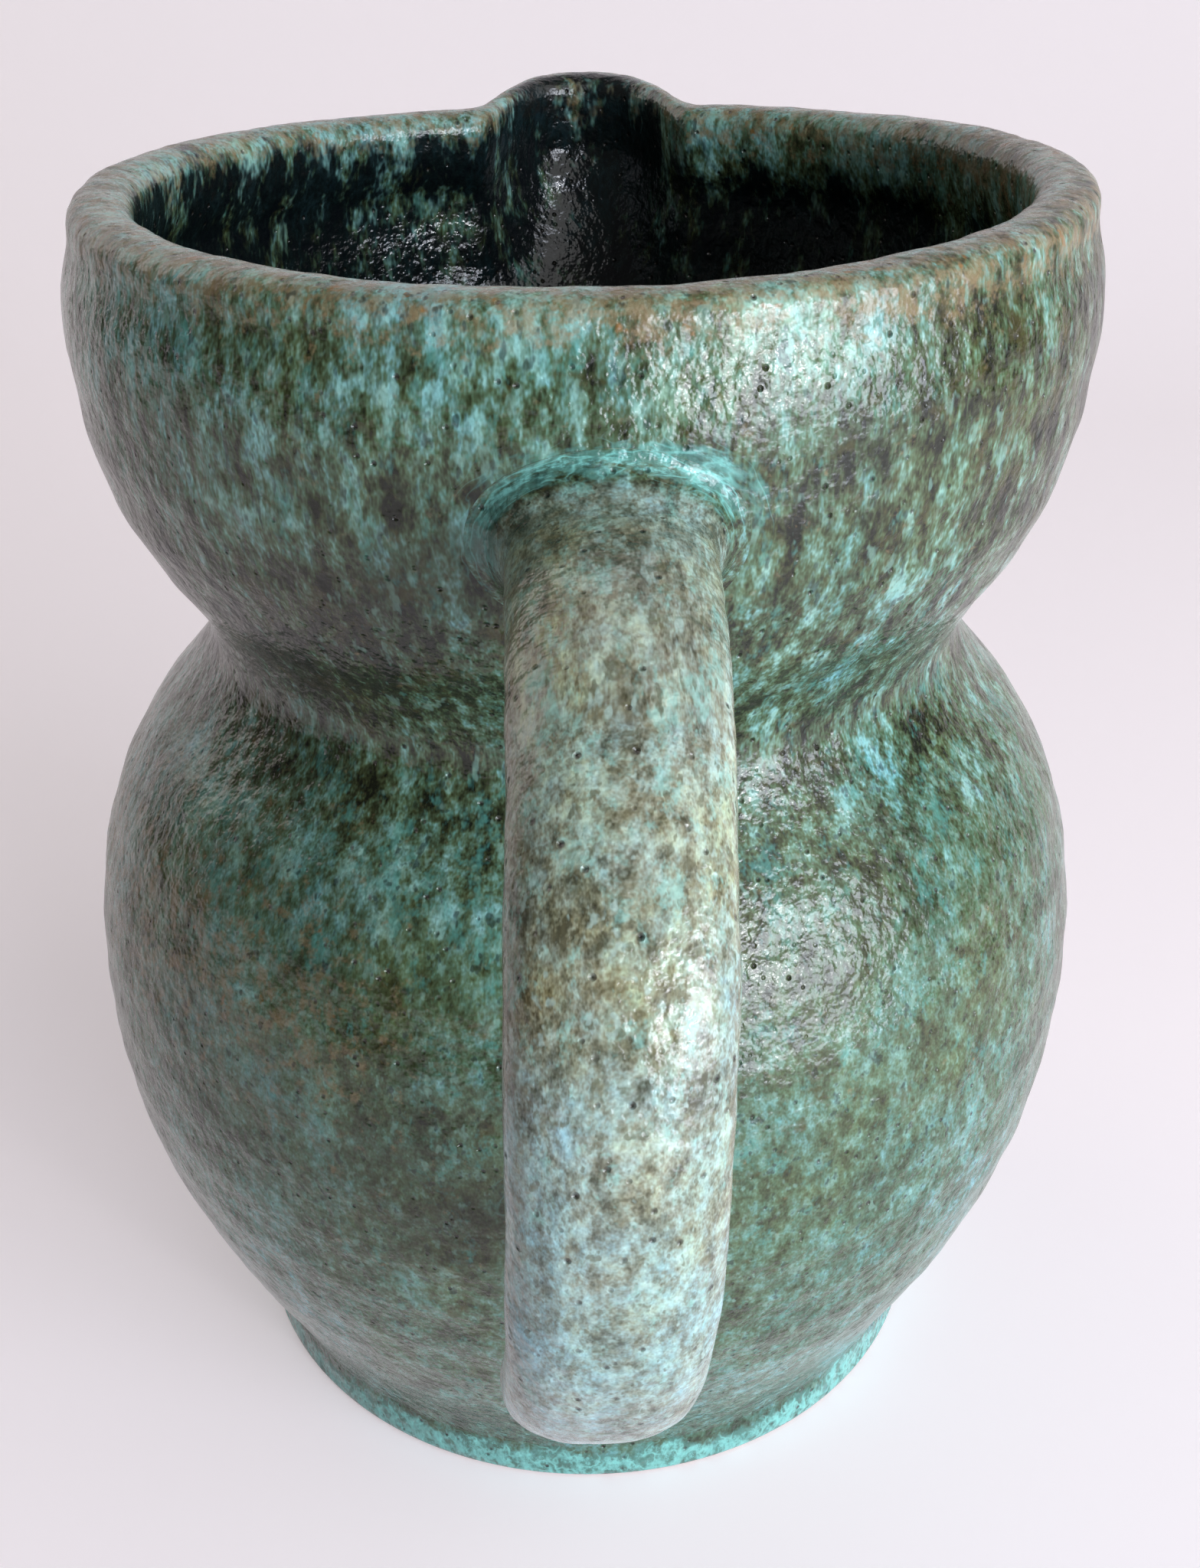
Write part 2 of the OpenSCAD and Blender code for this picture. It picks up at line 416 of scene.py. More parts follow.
@dataclass(frozen=True)
class Root:
    """The end of the strap on the wall, and the glaze that gathered round it."""

    middle: tuple[float, float]
    half_width: float
    half_height: float
    fillet: float
    strength: float
    oval: float = 2.3
    pattern_radius: float = 5.5
    edge_waver: tuple[Swell, ...] = (Swell(1.5, 2.4), Swell(2.4, 6.0, 17.0))
    rising: Ease = Ease(-3.5, 3.0)
    fading: Ease = Ease(3.0, 6.2)
    upper_side: Ease = Ease(-0.6, 0.8)
    lean_left: float = 0.22
    far: float = 100.0
    smallest: float = 1e-3

    def distance(self, points: Array) -> Array:
        """Distance from the strap's oval outline.

        Args:
            points: Places on the wall.

        Returns:
            Distances in millimetres, a far one for points that aren't on the handle's side.
        """
        across = points[..., 0] - self.middle[0]
        along = points[..., 2] - self.middle[1]
        size = np.abs(across / self.half_width) ** self.oval + np.abs(along / self.half_height) ** self.oval
        size = np.maximum(size ** (1 / self.oval), self.smallest)
        off = np.hypot(across, along) * (1.0 - 1.0 / size)
        return np.where(points[..., 1] < 0, np.maximum(off, 0.0), self.far)

    def angle(self, points: Array) -> Array:
        """Angle of points round the strap's end, from +X upwards."""
        return np.arctan2(points[..., 2] - self.middle[1], points[..., 0] - self.middle[0])

    def gather(self, off: Array, angle: Array) -> Array:
        """How much glaze gathered, in a wavering band over the strap's end.

        Args:
            off: Distances from the strap's outline, negative on the strap.
            angle: Angles round the strap's end.

        Returns:
            One amount for each place.
        """
        place = self.place(off, angle)
        off = off + sum(swell.at(MELTED, place) for swell in self.edge_waver)
        band = self.rising.at(off) * (1.0 - self.fading.at(off))
        return self.strength * band * self.upper_side.at(np.sin(angle) - self.lean_left * np.cos(angle))

    def place(self, off: Array, angle: Array) -> Array:
        """Pattern places that are long in the direction round the strap's end."""
        x, y = self.pattern_radius * np.cos(angle), self.pattern_radius * np.sin(angle)
        return np.stack([off, x, y + self.middle[1]], axis=-1)


@dataclass(frozen=True)
class WallGlaze:
    """Where the glaze pooled, ran thin, gathered, went bluer and settled on the walls, and where shade and
    light are painted on them.

    Patches go by height above the table and by distance to the right of the jug's middle.
    """

    outside: tuple[tuple[Mark, tuple[Patch, ...]], ...] = (
        (
            Mark.POOL_AND_SHADE,
            (
                Patch(1.2, Bell(108.0, 9.0)),
                Patch(-0.7, Bell(108.0, 9.0), Ease(-15.0, 30.0)),
                Patch(-1.1, Ease(132.0, 20.0), Ease(20.0, 26.0)),
                Patch(-0.9, Bell(136.0, 16.0), Ease(10.0, -30.0)),
                # Painted shade: the waist's left, in the shadow under the bowl's overhang, made thinner and
                # darker.
                Patch(-1.6, Bell(120.0, 9.0), Ease(-30.0, -12.0)),
                Patch(0.65, Bell(168.0, 12.0), Bell(-8.0, 34.0)),
            ),
        ),
        (Mark.THIN, (Patch(1.0, Ease(171.0, 8.0)), Patch(0.8, Bell(93.0, 18.0), Ease(-10.0, -30.0)))),
        (
            Mark.COOL,
            (
                Patch(0.85, Ease(80.0, -65.0)),
                Patch(0.3, Bell(128.0, 20.0)),
                # Painted cool light: bluer low on the right, where the window's cool light and sheen fall.
                Patch(0.5, Ease(100.0, -40.0), Ease(0.0, 40.0)),
            ),
        ),
        (Mark.SETTLED, (Patch(0.42, Ease(118.0, -22.0)),)),
    )
    inside: tuple[tuple[Mark, Patch], ...] = (
        (Mark.POOL_AND_SHADE, Patch(0.6, Ease(165.0, 10.0))),
        (Mark.THIN, Patch(1.0, Ease(168.0, 10.0))),
    )
    foot_band: Ease = Ease(8.4, -4.0)
    foot_strength: float = 1.15
    drips: tuple[Swell, ...] = (Swell(2.0, 4.0, 9.0), Swell(2.2, 11.0, 9.0))
    drip_share: float = 0.3
    # The dark inside: a lining glaze, deepened with painted shade down in the jug and, by the spout's rise,
    # up its deep channel.
    liner_and_shade_top: float = 182.0
    liner_and_shade_fade: float = 14.0
    liner_and_shade_fade_right: float = 6.0
    right_span: float = 60.0
    shade_up_spout: float = 13.0
    liner_and_shade_cool: float = 0.7

    def marks(self, points: Array, inside: Array, bell: Array, gather: Array) -> dict[Mark, Array]:
        """What the glaze did on a wall, and where shade or light is painted on it.

        Args:
            points: Places of a grid of points.
            inside: For each row, whether it is on the inner side.
            bell: How far into the spout each point is, from 0 to 1.
            gather: How much glaze gathered round the handle's roots.

        Returns:
            The marks of each point.
        """
        across, height = points[..., 0], points[..., 2]
        hidden = np.broadcast_to(inside[:, None], height.shape)
        drip = sum(swell.at(MELTED, shortened(points, self.drip_share)) for swell in self.drips)
        gather = np.maximum(self.foot_strength * self.foot_band.at(height - drip), gather)
        right = across / self.right_span
        # Dark from below the rim down and up the spout: lining glaze with painted shade.
        top = self.liner_and_shade_top - right + self.shade_up_spout * bell
        liner_and_shade = smooth((top - height) / (self.liner_and_shade_fade + self.liner_and_shade_fade_right * right))
        within = {mark: patch.at(height, across) for mark, patch in self.inside}
        within[Mark.COOL] = self.liner_and_shade_cool * liner_and_shade
        marks = {Mark.LINER_AND_SHADE: np.where(hidden, liner_and_shade, 0.0), Mark.GATHER: np.where(hidden, 0.0, gather)}
        for mark, patches in self.outside:
            shown = sum(patch.at(height, across) for patch in patches)
            marks[mark] = np.where(hidden, within.get(mark, 0.0), shown)
        return marks


@dataclass
class ThrownBody:
    """The thrown foot, belly and bowl with the coil at the waist and the spout."""

    roots: list[Root]
    glaze: WallGlaze = WallGlaze()
    # Outer line from the rim down, its pulls being shares of a stretch's height.
    rim_height: float = 180.0
    rim_radius: float = 65.0
    rim_thickness: float = 8.0
    rim_pulls: tuple[float, float] = (0.5, 0.4)
    roll_height: float = 3.4
    roll_squareness: float = 0.8
    bowl_radius: float = 67.0
    bowl_height: float = 166.0
    bowl_pulls: tuple[float, float] = (0.2, 0.68)
    waist_radius: float = 53.0
    waist_height: float = 122.0
    shoulder_pulls: tuple[float, float] = (0.73, 0.2)
    belly_radius: float = 73.5
    belly_height: float = 68.0
    lower_pulls: tuple[float, float] = (0.18, 0.505)
    # Wall and floor.
    wall: float = 7.0
    floor_thickness: float = 9.0
    floor_corner: float = 0.4
    floor_sweep: tuple[float, float, float, float] = (3.0, 8.0, 20.0, 22.0)
    floor_drop: float = 7.0
    # Foot ring, and the tongue on it that sits under the belly.
    foot_radius: float = 55.0
    foot_height: float = 7.0
    foot_width: float = 11.0
    foot_corner: float = 1.4
    foot_flare: float = 72.0
    tongue_half: float = 2.0
    tongue_height: float = 1.6
    seat_edge: float = 3.0
    # Waist coil and the V joint behind it.
    coil_share: float = 0.25
    coil_depth: float = 2.6
    coil_lip: float = 0.9
    joint_half: float = 1.2
    joint_depth: float = 1.4
    # Spout, and the steps that set where its notch begins on the wall.
    spout_reach: float = 16.0
    spout_rise: float = 2.7
    spout_half_angle: float = 17.0
    spout_sharpness: float = 1.35
    notch_step: int = 5
    wall_steps: int = 16
    rim_steps: int = 6
    # Unevenness of the throwing, and of the rim.
    swells: tuple[Swell, ...] = (Swell(0.45, 62.0), Swell(0.16, 24.0, 31.0))
    swell_radius: float = 60.0
    ring_height: float = 0.10
    ring_spacing: float = 9.5
    ring_waver: Swell = Swell(1.5, 80.0, 57.0)
    steady_foot: Ease = Ease(12.0, 30.0)
    steady_radius: float = 40.0
    rim_level: float = -0.1
    rim_tilt: tuple[float, float] = (0.95, -0.75)
    rim_sway: float = 0.65
    rim_zone: Ease = Ease(135.0, 45.0)
    # Pattern places round the handle's roots.
    corner_share: float = 0.7
    corner_reach: float = 30.0
    # Steps and rows of the meshes.
    pole_radius: float = 0.5
    slope_step: float = 1e-4
    groove_step: float = 0.01
    line_rows: int = 60
    columns: int = 480
    foot_rows: int = 13
    edge_rows: int = 7
    under_rows: int = 7
    lower_rows: int = 70
    shoulder_rows: int = 48
    coil_rows: int = 13
    seam_rows: int = 9
    inside_rows: tuple[int, int, int, int] = (24, 16, 10, 9)
    notch_rows: int = 14
    wall_rows: int = 46
    rim_rows: int = 14
    roll_rows: int = 12

    def __post_init__(self) -> None:
        """Work out the four curves of the outer line, each level at its ends but for the flared foot."""
        flare = math.radians(self.foot_flare)
        rise = np.array([0.0, 1.0])
        stops = [
            np.array([self.foot_radius, self.foot_height]),
            np.array([self.belly_radius, self.belly_height]),
            np.array([self.waist_radius, self.waist_height]),
            np.array([self.bowl_radius, self.bowl_height]),
            np.array([self.rim_radius, self.roll_base]),
        ]
        starts = [np.array([math.cos(flare), math.sin(flare)]), rise, rise, rise]
        pulls = [self.lower_pulls, self.shoulder_pulls, self.bowl_pulls, self.rim_pulls]
        self.curves = []
        for first, last, start, (low, high) in zip(stops[:-1], stops[1:], starts, pulls):
            height = last[1] - first[1]
            pulled = [first, first + low * height * start, last - high * height * rise, last]
            self.curves.append(np.array(pulled))
        self.lower_curve, self.shoulder_curve, self.bowl_curve, self.rim_curve = self.curves
        self.angles = np.arange(self.columns) * FULL_TURN / self.columns

    @property
    def roll_base(self) -> float:
        """Height where the rolled rim begins."""
        return self.rim_height - self.roll_height

    @property
    def foot_middle(self) -> float:
        """Radius of the middle of the foot ring's width."""
        return self.foot_radius - self.foot_width / 2

    def outer(self, curve: Array, start: float, stop: float, count: int) -> Array:
        """Points of the outer line along one curve."""
        return bezier(curve, np.linspace(start, stop, count))

    def inner(self, curve: Array, start: float, stop: float, count: int) -> Array:
        """Points of the inner line along one curve.

        Args:
            curve: One of the four curves of the outer line.
            start: Place on the curve of the first point.
            stop: Place on the curve of the last point.
            count: Number of points.

        Returns:
            Points a wall's thickness inside the curve.
        """
        t = np.linspace(start, stop, count)
        line = bezier(curve, t)
        ahead = bezier(curve, t + self.slope_step) - bezier(curve, t - self.slope_step)
        normals = np.stack([ahead[:, 1], -ahead[:, 0]], axis=-1)
        normals /= np.linalg.norm(normals, axis=-1, keepdims=True)
        thick = smooth((line[:, 1] - self.bowl_height) / (self.roll_base - self.bowl_height))
        wall = self.wall + (self.rim_thickness - self.wall) * thick
        return line - wall[:, None] * normals

    def rim_roll(self) -> Array:
        """Points over the rolled rim.

        Returns:
            Points from the roll's outer foot to its inner foot, without either.
        """
        turn = np.linspace(0.0, math.pi, 2 * self.roll_rows + 2)[1:-1]
        half = self.rim_thickness / 2
        across = half * signed_power(np.cos(turn), self.roll_squareness)
        up = self.roll_height * np.sin(turn) ** self.roll_squareness
        return np.stack([self.rim_radius - half + across, self.roll_base + up], axis=-1)

    def outer_radius(self, height: Array) -> Array:
        """Radius of the outer line at some heights."""
        line = np.concatenate([self.outer(curve, 0.0, 1.0, self.line_rows) for curve in self.curves])
        return np.interp(height, line[:, 1], line[:, 0])

    def spout_bell(self, angle: Array) -> Array:
        """How much of the spout's reach an angle has.

        Args:
            angle: Angles from +X towards +Y, in radians.

        Returns:
            Shares that are 1 on the spout's middle line and 0 from its edges on.
        """
        off = np.degrees(np.abs((angle - math.pi / 2 + math.pi) % FULL_TURN - math.pi))
        share = np.clip(off / self.spout_half_angle, 0.0, 1.0)
        return np.cos(math.pi / 2 * share**self.spout_sharpness) ** 2

    def rim_wobble(self, angle: Array) -> Array:
        """How far the hand-thrown rim stands above or below its level, in millimetres."""
        tilt = self.rim_level + self.rim_tilt[0] * np.cos(angle) + self.rim_tilt[1] * np.sin(angle)
        return tilt + self.rim_sway * np.cos(2 * angle)

    def place(self, radius: Array, height: Array, angle: Array, share: Array) -> Array:
        """Put points of the section in space, with the unevenness of the throwing.

        Args:
            radius: Distances from the axis.
            height: Heights above the table.
            angle: Angles from +X towards +Y, in radians.
            share: How far up the spout's part of the wall each point is, from 0 to 1.

        Returns:
            Places in millimetres.
        """
        bell = self.spout_bell(angle)
        x, y = self.swell_radius * np.cos(angle), self.swell_radius * np.sin(angle)
        around = np.stack([x, y, height], axis=-1)
        uneven = sum(swell.at(THROWN, around) for swell in self.swells)
        rings = np.sin(FULL_TURN * height / self.ring_spacing + self.ring_waver.at(THROWN, around))
        uneven = self.steady_foot.at(height) * (uneven + self.ring_height * rings)
        out = radius + self.spout_reach * bell * smooth(share)
        out = out + uneven * np.clip(radius / self.steady_radius, 0.0, 1.0)
        up = height + self.spout_rise * bell * smooth(2 * share - 1)
        up = up + self.rim_wobble(angle) * self.rim_zone.at(height)
        return np.stack([out * np.cos(angle), out * np.sin(angle), up], axis=-1)

    def marks(self, points: Array, inside: Array) -> dict[Mark, Array]:
        """What the glaze did on the wall, also round the handle's roots.

        Args:
            points: Places of a grid of points.
            inside: For each row, whether it is on the inner side.

        Returns:
            The marks of each point.
        """
        gather = np.zeros(points.shape[:-1])
        for root in self.roots:
            gather = np.maximum(gather, root.gather(root.distance(points), root.angle(points)))
        bell = self.spout_bell(np.arctan2(points[..., 1], points[..., 0]))
        return self.glaze.marks(points, inside, bell, gather)

    def corner_places(self, points: Array) -> Array:
        """Pattern places that lie along the nearest root of the handle, and evenly elsewhere.

        Args:
            points: Places of a grid of points.

        Returns:
            The pattern place of each point.
        """
        places = shortened(points, self.corner_share)
        for root in self.roots:
            off = root.distance(points)
            along = root.place(off, root.angle(points))
            places = np.where((off < self.corner_reach)[..., None], along, places)
        return places

    def turn(self, piece: ClayMesh, section: Section) -> Array:
        """Turn a section round the axis into rows of points.

        Args:
            piece: Piece that gets the points.
            section: The wall section.

        Returns:
            Point numbers, one row for each point of the section.
        """
        angle = np.broadcast_to(self.angles, (len(section.points), self.columns))
        radius = np.broadcast_to(section.points[:, :1], angle.shape)
        height = np.broadcast_to(section.points[:, 1:], angle.shape)
        share = np.broadcast_to(section.spout_share[:, None], angle.shape)
        points = self.place(radius, height, angle, share)
        out = section.normals[:, :1]
        up = np.broadcast_to(section.normals[:, 1:], angle.shape)
        normals = np.stack([out * np.cos(angle), out * np.sin(angle), up], axis=-1)
        relief = glaze_relief(points) * section.relief[:, None]
        points = points + relief[..., None] * normals
        places = {Lie.CORNER: self.corner_places(points)}
        return piece.add_points(points, self.marks(points, section.inside), places)

    def close_rows(self, piece: ClayMesh, section: Section, numbers: Array, loop: bool) -> None:
        """Add the faces between the rows of a turned section.

        Args:
            piece: Piece that gets the faces.
            section: The wall section.
            numbers: Point numbers of its rows.
            loop: Whether the last row joins the first.
        """
        rows = np.concatenate([numbers, numbers[:1]]) if loop else numbers
        for row, cells in enumerate(grid_cells(rows)):
            piece.add_faces(cells, section.finishes[row])

    def build_ring(self, name: str, runs: list[Run]) -> bpy.types.Object:
        """Make a piece whose section closes on itself.

        Args:
            name: Name of the piece.
            runs: The stretches of its section.

        Returns:
            The piece's object.
        """
        section = Section(runs)
        piece = ClayMesh(name)
        self.close_rows(piece, section, self.turn(piece, section), loop=True)
        return piece.write()

    def tongue_line(self) -> Array:
        """Section of the tongue on the foot ring, and of its seat in the belly, inner edge first.

        Returns:
            The four corners.
        """
        base = self.foot_height
        low, high = self.foot_middle - self.tongue_half, self.foot_middle + self.tongue_half
        top = base + self.tongue_height
        return np.array([[low, base], [low, top], [high, top], [high, base]])

    def joint_line(self) -> Array:
        """Section of the V joint behind the waist coil.

        Returns:
            Points from the coil's groove inwards.
        """
        middle = self.waist_radius - (self.wall + self.coil_depth) / 2
        level = self.waist_height
        return np.array(
            [
                [self.waist_radius - self.coil_depth, level],
                [middle + self.joint_half, level],
                [middle, level - self.joint_depth],
                [middle - self.joint_half, level],
            ]
        )

    def groove_edges(self) -> list[Array]:
        """Corners of the waist coil's groove, just under the wall's surface.

        Returns:
            The lower and the upper corner.
        """
        edges = []
        low, high = 1 - self.coil_share, self.coil_share
        for curve, share in ((self.shoulder_curve, low), (self.bowl_curve, high)):
            near = self.outer(curve, share - self.groove_step, share + self.groove_step, 3)
            edges.append(near[1] - self.coil_lip * right_normals(near)[1])
        return edges

    def build_foot(self) -> bpy.types.Object:
        """Make the foot ring with its rounded lower edges and the tongue on top.

        Returns:
            The foot ring's object.
        """
        inner, top, corner = self.foot_radius - self.foot_width, self.foot_height, self.foot_corner
        turn = np.linspace(0.0, math.pi / 2, self.edge_rows)
        cos, sin = corner * np.cos(turn), corner * np.sin(turn)
        in_edge = np.stack([inner + corner - cos, corner - sin], axis=-1)
        out_edge = np.stack([self.foot_radius - corner + sin, corner - cos], axis=-1)
        low, high = self.foot_middle - self.tongue_half, self.foot_middle + self.tongue_half
        rise = np.linspace(corner, top, self.foot_rows)[1:]
        wiped = self.edge_rows // 2
        return self.build_ring(
            "foot_ring_glazed",
            [
                Run.bare([[inner, top], [inner, (top + corner) / 2]]),
                Run.bare(in_edge),
                Run.bare([[low, 0.0], [high, 0.0]]),
                Run.bare(out_edge[:wiped]),
                Run(out_edge[wiped:], relief=False),
                Run(np.stack([np.full_like(rise, self.foot_radius), rise], axis=-1)),
                Run.bare(self.tongue_line()[::-1]),
            ],
        )

    def build_belly(self) -> bpy.types.Object:
        """Make the belly with its floor.

        Returns:
            The belly's object.
        """
        base = self.foot_height
        floor = base + self.floor_thickness
        under = np.linspace(self.pole_radius, self.foot_middle - self.seat_edge, self.under_rows)
        stop = 1 - self.coil_share
        shoulder_in, lower_in, corner_in, floor_in = self.inside_rows
        corner = self.inner(self.lower_curve, self.floor_corner, self.floor_corner, 1)[0]
        low, mid, flat, start = (corner[0] - step for step in self.floor_sweep)
        soft = np.array([corner, [low, corner[1] - self.floor_drop], [mid, floor], [flat, floor]])
        level = np.linspace(start, self.pole_radius, floor_in)
        section = Section(
            [
                Run.bare(np.stack([under, np.full_like(under, base)], axis=-1)),
                Run.bare(self.tongue_line()),
                Run(self.outer(self.lower_curve, 0.0, 1.0, self.lower_rows)),
                Run(self.outer(self.shoulder_curve, 0.0, stop, self.shoulder_rows)[1:]),
                Run.bare(np.concatenate([self.groove_edges()[:1], self.joint_line()])),
                Run(self.inner(self.shoulder_curve, 1.0, stop, self.seam_rows), inside=True),
                Run(self.inner(self.shoulder_curve, stop, 0.0, shoulder_in)[1:], inside=True),
                Run(self.inner(self.lower_curve, 1.0, self.floor_corner, lower_in)[1:], inside=True),
                Run(bezier(soft, np.linspace(0.0, 1.0, corner_in))[1:], inside=True),
                Run(np.stack([level, np.full_like(level, floor)], axis=-1), inside=True),
            ]
        )
        piece = ClayMesh("belly_glazed")
        numbers = self.turn(piece, section)
        self.close_rows(piece, section, numbers, loop=False)
        for row, height, finish, marks in (
            (numbers[0], base, Finish.BARE, {}),
            # The inside floor's middle is fully dark: lining glaze with painted shade.
            (numbers[-1], floor, Finish.GLAZED, {Mark.LINER_AND_SHADE: np.ones(1)}),
        ):
            pole = piece.add_points(np.array([[0.0, 0.0, height]]), marks)
            fan = np.stack([row, np.roll(row, -1), np.repeat(pole, len(row))], axis=-1)
            piece.add_faces(fan, finish)
        return piece.write()

    def build_waist_coil(self) -> bpy.types.Object:
        """Make the coil that rounds the waist, bedded in its groove.

        Returns:
            The coil's object.
        """
        low_edge, high_edge = self.groove_edges()
        below = self.outer(self.shoulder_curve, 1 - self.coil_share, 1.0, self.coil_rows)
        above = self.outer(self.bowl_curve, 0.0, self.coil_share, self.coil_rows)[1:]
        bed = [high_edge, self.joint_line()[0], low_edge]
        return self.build_ring("waist_coil_glazed", [Run(np.concatenate([below, above])), Run.bare(bed)])

    def bowl_runs(self) -> list[Run]:
        """Section of the bowl, whose spout runs from the notch's foot over the rim and back.

        Returns:
            The stretches, the notch beginning at the end of the second and ending in the last but one.
        """
        coil = self.coil_share
        notch = coil + (1 - coil) * self.notch_step / self.wall_steps
        beak_steps = self.wall_steps - self.notch_step
        bowl_share = beak_steps / (beak_steps + self.rim_steps)
        wall_share = np.linspace(0.0, bowl_share, self.wall_rows)
        rim_share = np.linspace(bowl_share, 1.0, self.rim_rows)
        roll = self.rim_roll()
        full = np.ones(self.roll_rows)
        wall_in = self.inner(self.bowl_curve, 1.0, notch, self.wall_rows)[:-1]
        rim_in = self.inner(self.rim_curve, 1.0, 0.0, self.rim_rows)[:-1]
        return [
            Run.bare(np.concatenate([self.joint_line()[::-1], self.groove_edges()[1:]])),
            Run(self.outer(self.bowl_curve, coil, notch, self.notch_rows)),
            Run(self.outer(self.bowl_curve, notch, 1.0, self.wall_rows)[1:], spout_share=wall_share[1:]),
            Run(self.outer(self.rim_curve, 0.0, 1.0, self.rim_rows)[1:], spout_share=rim_share[1:]),
            Run(roll[: self.roll_rows], spout_share=full),
            Run(roll[self.roll_rows :], inside=True, spout_share=full),
            Run(rim_in, inside=True, spout_share=rim_share[:0:-1]),
            Run(wall_in, inside=True, spout_share=wall_share[:0:-1]),
            Run(self.inner(self.bowl_curve, notch, coil, self.notch_rows), inside=True),
            Run(self.inner(self.bowl_curve, coil, 0.0, self.seam_rows)[1:], inside=True),
        ]

    def build_bowl_and_spout(self) -> tuple[bpy.types.Object, bpy.types.Object]:
        """Make the bowl with its notch and the spout that is set in it.

        Returns:
            The bowl's and the spout's objects.
        """
        runs = self.bowl_runs()
        section = Section(runs)
        counts = [len(run.points) for run in runs]
        first = sum(counts[:2]) - 1
        last = sum(counts[:-2])
        half = round(self.spout_half_angle / 360 * self.columns)
        left, right = self.columns // 4 - half, self.columns // 4 + half
        pieces = ClayMesh("bowl_glazed"), ClayMesh("spout_glazed")
        for piece, is_spout in zip(pieces, (False, True)):
            numbers = self.turn(piece, section)
            for row, ring in enumerate(grid_cells(np.concatenate([numbers, numbers[:1]]))):
                own = np.zeros(self.columns, dtype=bool)
                own[left:right] = first <= row < last
                piece.add_faces(ring[own == is_spout], section.finishes[row])
            mitre = np.stack([numbers[first, left : right + 1], numbers[last, left : right + 1]])
            piece.add_faces(grid_cells(mitre, wrap=False), Finish.BARE)
            for column in (left, right):
                side = numbers[first : last + 1, column]
                pairs = np.stack([side[: len(side) // 2], side[::-1][: len(side) // 2]])
                piece.add_faces(grid_cells(pairs, wrap=False), Finish.BARE)
        return pieces[0].write(), pieces[1].write()


